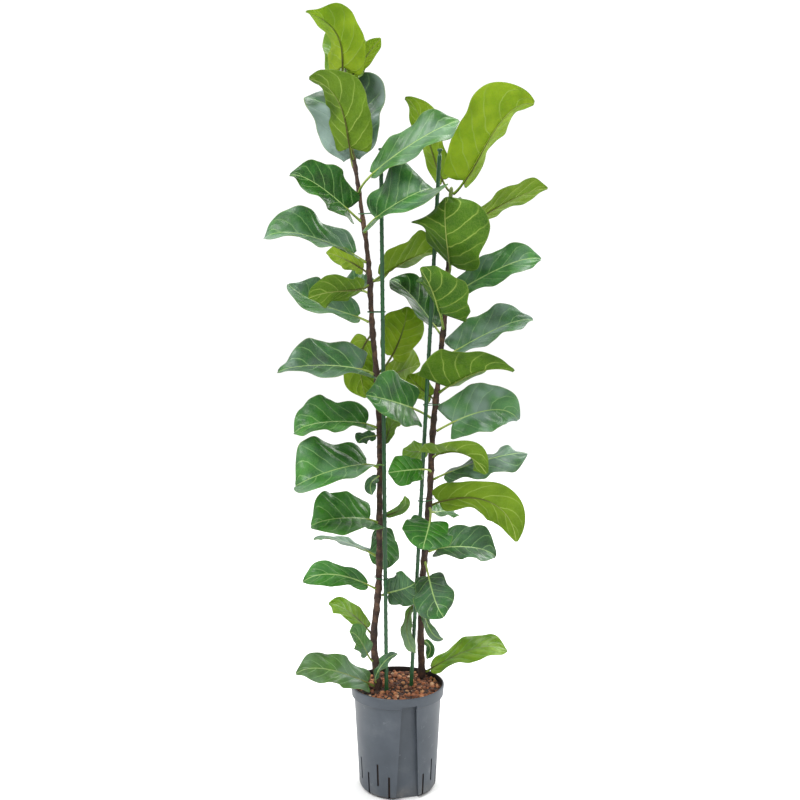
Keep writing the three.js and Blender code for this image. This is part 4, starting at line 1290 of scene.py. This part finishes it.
def tie_loop(side, z):
    """The path of a wire round stem and stake."""
    stem_x, stem_y, stem_r = (float(value) for value in stem_axis(side, z))
    stake = tuple(float(value) for value in stake_axis(side, z))
    wheels = [((stem_x, stem_y), stem_r + NODE_SWELL + WIRE + STEM_CLEAR),
              (stake, STAKE_RADIUS + NUB_RISE + WIRE + STAKE_CLEAR)]
    loop = []
    for step in range(LOOP_STEPS):
        angle = 2 * math.pi * step / LOOP_STEPS
        way = np.array([math.cos(angle), math.sin(angle)])
        at_stem, at_stake = (way @ middle + reach for middle, reach in wheels)
        (x, y), reach = wheels[0] if at_stem > at_stake else wheels[1]
        loop.append((x + reach * way[0], y + reach * way[1], z + LOOP_TILT * math.sin(angle)))
    return loop


def tie_tail(front, offset):
    """The path of one twisted end, which starts at the foremost point of the loop."""
    tail = []
    for step in range(TWIST_STEPS + 1):
        share = step / TWIST_STEPS
        turn = offset + 2 * math.pi * TWIST_TURNS * share
        spread = WIRE * 1.05 + max(0.0, share - 0.8) * 9  # the last fifth opens
        tail.append((front[0] + spread * math.cos(turn),
                     front[1] - 1.2 - TWIST_LEAN * TWIST_LENGTH * share + spread * math.sin(turn),
                     front[2] - TWIST_LENGTH * share))
    return tail


def round_length(loop):
    """The length of a closed path in mm."""
    return float(np.linalg.norm(np.array(loop) - np.roll(loop, 1, axis=0), axis=1).sum())


print("mm round stem and stake near the top:", round(round_length(tie_loop("left", 1092))))

# %% [markdown]
# ## Five ties
# Three ties hold the left stem and two the right one, each at the height that the photograph
# shows. All share one material, the same green as the stakes but brighter.

# %% Make the ties
TIES = [
    ("tie_left_upper", "left", 1092), ("tie_left_middle", "left", 912),
    ("tie_left_lower", "left", 411), ("tie_right_upper", "right", 738),
    ("tie_right_lower", "right", 555),
]
TAIL_SHARE = 0.8  # the twisted ends are that much thinner


def wire_material():
    finish = Finish("tie_wire")
    fine = finish.noise(finish.place(), 300.0, detail=2.0)
    shade = finish.ramp(fine, (0.35, colour(22, 78, 40)), (0.7, colour(46, 108, 60)))
    return finish.surface(base_color=shade, roughness=0.4 + fine * 0.1)


wire = wire_material()
for name, side, height in TIES:
    loop = tie_loop(side, height)
    front = min(loop, key=lambda point: point[1])
    tails = [rod(tie_tail(front, offset), WIRE * TAIL_SHARE) for offset in (0.0, math.pi)]
    points, faces = joined([rod(loop, WIRE, closed=True)] + tails)
    make_piece(name + "_wire", np.array(points) * MM, faces, wire, [name])
print("ties:", len(TIES))

# %% [markdown]
# ## The pot
# The pot is one moulding of grey plastic: a slightly tapering cup with a rim band that stands out,
# an upright channel that a water gauge can sit in, and slits that let water in. A profile turned
# round the middle makes the cup, and fine sides matter here, because a plastic pot is truly round.

# %% Pot dimensions
POT = {"height": 201.0, "base": 74.0, "top": 83.5, "rim": 89.5, "rim_height": 21.0,
       "taper": 1.4, "wall": 2.2, "floor": 2.6, "corner": 10.0}
POT_SIDES = 192
UNDER_RIM = POT["height"] - POT["rim_height"]


def pot_radius(z):
    """Outer radius of the wall at a height under the rim band."""
    share = (z - POT["corner"]) / (UNDER_RIM - POT["corner"])
    return POT["base"] + (POT["top"] - POT["base"]) * share


def corner(radius, z, rounding, steps):
    """A round corner from a flat bottom to a wall."""
    return [(radius - rounding + rounding * math.sin(angle),
             z + rounding - rounding * math.cos(angle))
            for angle in np.linspace(0, math.pi / 2, steps + 1)]


def turned(profile):
    """A closed skin turned round the upright axis. The profile starts and ends on the axis."""
    points = [(0.0, 0.0, profile[0][1])]
    for radius, z in profile[1:-1]:
        for k in range(POT_SIDES):
            angle = 2 * math.pi * k / POT_SIDES
            points.append((radius * math.cos(angle), radius * math.sin(angle), z))
    points.append((0.0, 0.0, profile[-1][1]))
    rings = len(profile) - 2
    faces = [tuple(1 + index for index in face) for face in skin_faces(rings, POT_SIDES)]
    last = len(points) - 1
    top = 1 + (rings - 1) * POT_SIDES
    for k in range(POT_SIDES):
        following = (k + 1) % POT_SIDES
        faces += [(0, 1 + following, 1 + k), (last, top + k, top + following)]
    return np.array(points) * MM, faces


print("pot wall from", POT["base"], "to", POT["top"], "mm, rim", POT["rim"], "mm in radius")

# %% [markdown]
# ## Blocks to cut with
# The channel runs up the front right of the wall and narrows on its way. The slits stand in two
# rows, one low and one high by turns. Each is a block with a near and a far side, placed by its
# azimuth round the pot.

# %% Blocks
CHANNEL = {"azimuth": -75.0, "depth": 12.0, "half_top": 14.0, "half_foot": 22.0, "top": 186.0}
CHANNEL_OUT = 110  # mm from the axis, clear of the pot
CHANNEL_DOWN = -5  # mm, below its foot
SLITS = {"count": 19, "start": -50.3, "step": 17.12, "width": 4.0, "low": (2, 46), "high": (25, 68)}
SLIT_REACH = (54, 94)  # mm from the axis, inside and outside of the wall


def directions(degrees):
    """The way outwards at an azimuth and the way across it."""
    angle = math.radians(degrees)
    out = np.array([math.cos(angle), math.sin(angle)])
    return out, np.array([-out[1], out[0]])


def block(degrees, levels):
    """A block. Each of its two levels is a height, the near and the far reach, and half a width."""
    out, across = directions(degrees)
    points = []
    for z, near, far, half in levels:
        for reach, turn in ((near, -1), (near, 1), (far, 1), (far, -1)):
            x, y = out * reach + across * turn * half
            points.append((x * MM, y * MM, z * MM))
    return points, capped(2, 4)


def channel_block(margin=0.0):
    """The room of the channel, and of its wall too when the margin is the wall's thickness."""
    levels = []
    ends = [(CHANNEL_DOWN, CHANNEL["half_foot"]), (CHANNEL["top"] + margin, CHANNEL["half_top"])]
    for z, half in ends:
        near = pot_radius(max(z - margin, 0)) - CHANNEL["depth"] - margin
        levels.append((z, near, CHANNEL_OUT, half + margin))
    return block(CHANNEL["azimuth"], levels)


def slit_blocks():
    """All the slits as one skin."""
    blocks = []
    for number in range(SLITS["count"]):
        ends = SLITS["high"] if number % 2 else SLITS["low"]
        blocks.append(block(SLITS["start"] + SLITS["step"] * number,
                            [(z, *SLIT_REACH, SLITS["width"] / 2) for z in ends]))
    return joined(blocks)


print("faces of all slits:", len(slit_blocks()[1]))

# %% [markdown]
# ## Cutting
# A boolean modifier cuts one object out of another. The modifier is worked out at once and its
# result kept as the new mesh, so that the object that cut can go.

# %% Cuts
def plain_object(name, points, faces):
    """An object without a material, to be cut or to cut with."""
    mesh = bpy.data.meshes.new(name)
    mesh.from_pydata([tuple(p) for p in points], [], faces)
    fix_winding(mesh)
    made = bpy.data.objects.new(name, mesh)
    bpy.context.collection.objects.link(made)
    return made


def cut(target, tool):
    """Cuts one object out of another and removes it."""
    modifier = target.modifiers.new("cut", "BOOLEAN")
    modifier.operation = "DIFFERENCE"
    modifier.solver = "EXACT"
    modifier.object = tool
    bpy.context.view_layer.update()
    result = target.evaluated_get(bpy.context.evaluated_depsgraph_get())
    cut_mesh = bpy.data.meshes.new_from_object(result)
    target.modifiers.clear()
    target.data = cut_mesh
    bpy.data.objects.remove(tool)


# %% [markdown]
# ## Cup, room and cuts
# The outer profile goes from the middle of the bottom round the corner, up the wall and over the
# lip. The room inside is a second turned skin, and it loses the walls of the channel first. Then
# the cup loses the channel, the room and the slits.

# %% Make the pot
EASE = 1.2  # mm, rounding at the foot of the rim band
WALL_RINGS = (60, 110, UNDER_RIM - EASE)
LIP = [(0.4, 8), (0, 2.6), (0.2, 1), (0.9, 0.2), (1.6, 0)]  # mm in from the edge and below the top
CORNER_STEPS = (8, 6)  # outside and inside
BEVEL = 0.6  # mm, round the mouth of the room
STEP = 0.8

height, rim, inset = POT["height"], POT["rim"], POT["wall"]
band = rim - POT["taper"]
outer_profile = ([(0, 0)] + corner(POT["base"], 0, POT["corner"], CORNER_STEPS[0])
                 + [(pot_radius(z), z) for z in WALL_RINGS]
                 + [(pot_radius(UNDER_RIM) + 0.5, UNDER_RIM - 0.3), (band - EASE, UNDER_RIM),
                    (band, UNDER_RIM + EASE)]
                 + [(rim - inwards, height - below) for inwards, below in LIP] + [(0, height)])
room_foot, room_top = pot_radius(UNDER_RIM) - inset, band - inset
room_profile = ([(0, POT["floor"])]
                + corner(POT["base"] - inset, POT["floor"], POT["corner"] - inset, CORNER_STEPS[1])
                + [(room_foot, UNDER_RIM), (room_foot + 0.4, UNDER_RIM + inset),
                   (room_top, UNDER_RIM + inset + STEP), (room_top, height - STEP),
                   (room_top + BEVEL, height + 0.01), (room_top + BEVEL, height + 1),
                   (0, height + 1)])
pot = plain_object("pot_smooth", *turned(outer_profile))
room = plain_object("room", *turned(room_profile))
cut(room, plain_object("channel_inside", *channel_block(POT["wall"])))
cut(pot, plain_object("channel", *channel_block()))
cut(pot, room)
cut(pot, plain_object("slits", *slit_blocks()))
print("pot:", len(pot.data.polygons), "faces")

# %% [markdown]
# The clay has stained the inside of the wall. Every point of the pot is told whether it lies
# inside: nearer to the middle than half the wall, and not on the outer skin of the channel.

# %% Inside or outside
def inside_marks(points):
    """1 for points in mm on the inner skin of the pot, 0 for the others."""
    out, across = directions(CHANNEL["azimuth"])
    flat, z = points[:, :2], points[:, 2]
    middle_of_wall = POT["wall"] / 2
    half = np.interp(z, (0, CHANNEL["top"]), (CHANNEL["half_foot"], CHANNEL["half_top"]))
    behind = pot_radius(z) - CHANNEL["depth"] - middle_of_wall
    on_channel = ((np.abs(flat @ across) < half + middle_of_wall) & (flat @ out > behind)
                  & (z < CHANNEL["top"] + middle_of_wall))
    wall = np.where(z < UNDER_RIM, pot_radius(z), band) - middle_of_wall
    inner = (np.hypot(*flat.T) < wall) & (z > POT["floor"] / 2) & ~on_channel
    return inner.astype(float)


marks = inside_marks(np.array([vertex.co[:] for vertex in pot.data.vertices]) / MM)
pot.data.attributes.new("pot_inner", "FLOAT", "POINT").data.foreach_set("value", marks)
print("points on the inner skin:", int(marks.sum()), "of", len(marks))

# %% [markdown]
# ## Grey plastic
# The plastic is slate grey, nearly matt, with the faint dust and scuffs of a pot that has stood
# in a nursery. The inside of the wall is stained brown by the clay.

# %% Pot material
SHARP = 32  # degrees between two faces from which their edge stays sharp


def pot_material():
    finish = Finish("pot_plastic")
    where = finish.place()
    broad = finish.noise(where, 14.0, detail=5.0, roughness=0.6)
    fine = finish.noise(where, 700.0, detail=2.0)
    shade = finish.ramp(broad, (0.3, colour(55, 62, 70)), (0.55, colour(65, 72, 80)),
                        (0.8, colour(82, 88, 95)))
    dust = (1.0 - finish.part(where, 2).ease(0.0, 0.03)) * broad.ease(0.4, 0.7)
    shade = finish.blend(dust * 0.35, shade, colour(128, 122, 112))
    scuff = finish.noise(where, 60.0, detail=4.0, roughness=0.7).ease(0.62, 0.72)
    shade = finish.blend(scuff * 0.25, shade, colour(132, 138, 142))
    stain = finish.number("pot_inner") * (0.7 + broad * 0.4)
    shade = finish.blend(stain.least(1.0), shade, colour(38, 31, 28))
    bump = finish.bump(fine * 0.00006 + broad * 0.0002, strength=0.5)
    rough = 0.38 + broad * 0.16 + scuff * 0.1
    return finish.surface(base_color=shade, roughness=rough, normal=bump, specular_ior_level=0.4)


pot.data.materials.clear()
pot.data.materials.append(pot_material())
pot.data.shade_smooth()
pot.data.set_sharp_from_angle(angle=math.radians(SHARP))
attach(pot, "root")
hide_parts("pot")
print("pot box in mm:", [round(side * 1000, 1) for side in pot.dimensions])

# %% [markdown]
# ## Clay granules
# The pot is filled with fired clay, broken and rolled into granules of 3 to 12 mm. The packed
# solid below is kept and coloured nearly black, as painted shade in the gaps between the granules,
# and single granules are strewn over its top. They keep clear of the stems, and near the left stem
# some dark soil of the first root ball shows.

# %% Room for granules
RIM_ROOM = 85.2  # mm from the middle to the wall
ROD_CLEAR = 0.9  # share of its radius that a granule keeps off a stem or a stake
ROOT_BALL = {"middle": (-50, -24), "reach": (27, 15)}


def near_rod(x, y, radius):
    """Whether a granule would touch a stem or a stake."""
    for side in STEM_ROUTES:
        stem_x, stem_y, stem_r = stem_axis(side, SOIL_LEVEL)
        stake_x, stake_y = stake_axis(side, SOIL_LEVEL)
        if (math.hypot(x - stem_x, y - stem_y) < stem_r + radius * ROD_CLEAR
                or math.hypot(x - stake_x, y - stake_y) < STAKE_RADIUS + radius * ROD_CLEAR):
            return True
    return False


def in_root_ball(x, y):
    """Whether a place lies in the oval patch of soil."""
    off = [(place - middle) / reach
           for place, middle, reach in zip((x, y), ROOT_BALL["middle"], ROOT_BALL["reach"])]
    return math.hypot(*off) < 1


print("in the middle of the pot: near a rod", near_rod(0, 0, 5), "and on soil", in_root_ball(0, 0))

# %% [markdown]
# ## Strewing
# Places are tried at random, the largest granules first, and a new one is kept only where it has
# room. To find its neighbours quickly, the surface is divided in squares, and only the nine
# squares round it are searched.

# %% Strew the granules
SEED = 5
SIZES = [
    # least and greatest radius in mm, tries, how far two may sink into each other
    (4.2, 6.0, 900, 0.86), (2.8, 4.2, 3200, 0.8), (1.5, 2.8, 7000, 0.8),
]
CELL = 12  # mm, side of the squares in which neighbours are looked for
CRUMB_SHARE = 0.9  # of the pieces on the root ball
CRUMB_RADIUS = 3  # mm, the greatest


def granule_places():
    """Place and radius of every granule, and 1 for those that are crumbs of dark soil."""
    draws = random.Random(SEED)
    placed = []
    cells = {}
    for least, greatest, tries, squeeze in SIZES:
        for _ in range(tries):
            radius = draws.uniform(least, greatest)
            reach = (RIM_ROOM - radius) * math.sqrt(draws.random())
            angle = draws.uniform(0, 2 * math.pi)
            x, y = reach * math.cos(angle), reach * math.sin(angle)
            crumb = in_root_ball(x, y) and draws.random() < CRUMB_SHARE
            if near_rod(x, y, radius) or (crumb and radius > CRUMB_RADIUS):
                continue
            cell = (int(x // CELL), int(y // CELL))
            neighbours = [other for i in (-1, 0, 1) for j in (-1, 0, 1)
                          for other in cells.get((cell[0] + i, cell[1] + j), [])]
            if any(math.hypot(x - other[0], y - other[1]) < (radius + other[2]) * squeeze
                   for other in neighbours):
                continue
            cells.setdefault(cell, []).append((x, y, radius))
            placed.append((x, y, radius, float(crumb)))
    return placed


placed = granule_places()
print("granules:", len(placed))

# %% [markdown]
# ## The shape of a granule
# Each granule is a rough ball. Broken sides are made by pressing flat everything beyond a plane,
# a few waves make it knobbly, and then it is squashed, turned and tilted at random.

# %% Granule shapes
MOUND = 3.0  # mm that the filling stands higher in the middle
BROKEN_SIDES = 7
BROKEN_AT = (0.62, 0.95)  # share of the radius from which a broken side is pressed flat
PRESSED = 0.85
BUMPS = 3
BUMP_RISE = 0.035
SPREAD = (0.8, 1.15)
FLATNESS = (0.65, 1.0)
TILT = 0.8  # radians to either side
BED = 2.4  # mm that the granules lie deeper than the mound
UNEVEN = (-2.2, 1.8)
LIFT = 0.1  # share of its radius by which a granule lies higher


def granule_shape(base, draws):
    """Points of one broken, squashed and turned ball of radius 1."""
    shape = base.copy()
    for _ in range(BROKEN_SIDES):
        way = unit([draws.gauss(0, 1) for _ in range(3)])
        over = np.maximum(0, shape @ way - draws.uniform(*BROKEN_AT))
        shape -= over[:, None] * way * PRESSED
    for _ in range(BUMPS):
        way = unit([draws.gauss(0, 1) for _ in range(3)])
        wave = np.sin(base @ way * draws.uniform(4, 9) + draws.uniform(0, 6))
        shape += BUMP_RISE * wave[:, None] * base
    shape *= [draws.uniform(*SPREAD), draws.uniform(*SPREAD), draws.uniform(*FLATNESS)]
    turn, tilt = draws.uniform(0, 2 * math.pi), draws.uniform(-TILT, TILT)
    spin = np.array([[math.cos(turn), -math.sin(turn), 0],
                     [math.sin(turn), math.cos(turn), 0],
                     [0, 0, 1]])
    lean = np.array([[1, 0, 0],
                     [0, math.cos(tilt), -math.sin(tilt)],
                     [0, math.sin(tilt), math.cos(tilt)]])
    return shape @ spin.T @ lean.T


def granule_mesh(places):
    """Points, faces and tones of all granules in one mesh."""
    draws = random.Random(SEED + 1)
    ball = bmesh.new()
    bmesh.ops.create_icosphere(ball, subdivisions=2, radius=1.0)
    base = np.array([vertex.co[:] for vertex in ball.verts])
    base_faces = np.array([[vertex.index for vertex in face.verts] for face in ball.faces])
    ball.free()
    points, faces, tones = [], [], []
    for x, y, radius, crumb in places:
        shape = granule_shape(base, draws)
        mound = MOUND * (1 - (math.hypot(x, y) / RIM_ROOM) ** 2)
        level = SOIL_LEVEL + mound - BED + draws.uniform(*UNEVEN)
        points.append(shape * radius + np.array([x, y, level + radius * LIFT]))
        faces.append(base_faces + len(base) * len(faces))
        tones.append(np.tile([draws.random(), draws.random(), crumb], (len(base), 1)))
    return np.concatenate(points) * MM, np.concatenate(faces).tolist(), np.concatenate(tones)


points, faces, tones = granule_mesh(placed)
print("granule faces:", len(faces))

# %% [markdown]
# ## Fired clay, soil and painted shade in the gaps
# Fired clay is rust brown on one granule and pale on the next, with dust on its skin. So each
# granule carries its own tone by chance. The crumbs of soil are nearly black. The gaps between the
# granules are the imported solid under them, coloured nearly black as painted shade.

# %% Clay material
def clay_material():
    finish = Finish("clay_granules")
    where = finish.place()
    tone = finish.triple("granule_tone")
    pick, dusty, crumb = (finish.part(tone, k) for k in range(3))
    broad = finish.noise(where, 180.0, detail=3.0)
    fine = finish.noise(where, 900.0, detail=3.0, roughness=0.7)
    shade = finish.ramp(pick, (0.0, colour(58, 36, 30)), (0.3, colour(108, 64, 40)),
                        (0.7, colour(156, 96, 60)), (0.93, colour(180, 130, 88)),
                        (1.0, colour(200, 172, 144)))
    shade = finish.blend(broad.ease(0.4, 0.7) * 0.6, shade, colour(88, 50, 38))
    shade = finish.blend(fine.ease(0.55, 0.75) * dusty * 0.6, shade, colour(196, 160, 132))
    shade = finish.blend(crumb * 0.88, shade, colour(40, 27, 20))
    return finish.surface(base_color=shade, roughness=0.92,
                          normal=finish.bump(fine * 0.0006 + broad * 0.0008, strength=0.8))


def gap_shade_material():
    # painted shade: the solid under the granules is coloured nearly black to stand for the shade in the
    # gaps
    finish = Finish("painted_gap_shade")
    broad = finish.noise(finish.place(), 160.0, detail=4.0)
    shade = finish.ramp(broad, (0.3, colour(24, 17, 14)), (0.6, colour(44, 29, 22)),
                        (0.8, colour(72, 45, 33)))
    return finish.surface(base_color=shade, roughness=0.95,
                          normal=finish.bump(broad * 0.002, strength=0.8))


make_piece("granules_top", points, faces, clay_material(),
           numbers={"granule_tone": tones})
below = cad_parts["granules"]
below.data.materials.clear()
below.data.materials.append(gap_shade_material())
print("filling:", below.name, "under", len(placed), "granules")

# %% [markdown]
# ## The size at the end
# The box of the imported model and the box of the dressed one are both printed, in millimetres.

# %% Sizes and the end
seen_low, seen_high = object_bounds()
sizes = {
    "cad": {"low": [float(value) for value in cad_low], "high": [float(value) for value in cad_high]},
    "visual": {"low": [float(value) for value in seen_low], "high": [float(value) for value in seen_high]},
}
for key, box in sizes.items():
    print(key, [round((high - low) * 1000, 1) for low, high in zip(box["low"], box["high"])], "mm")
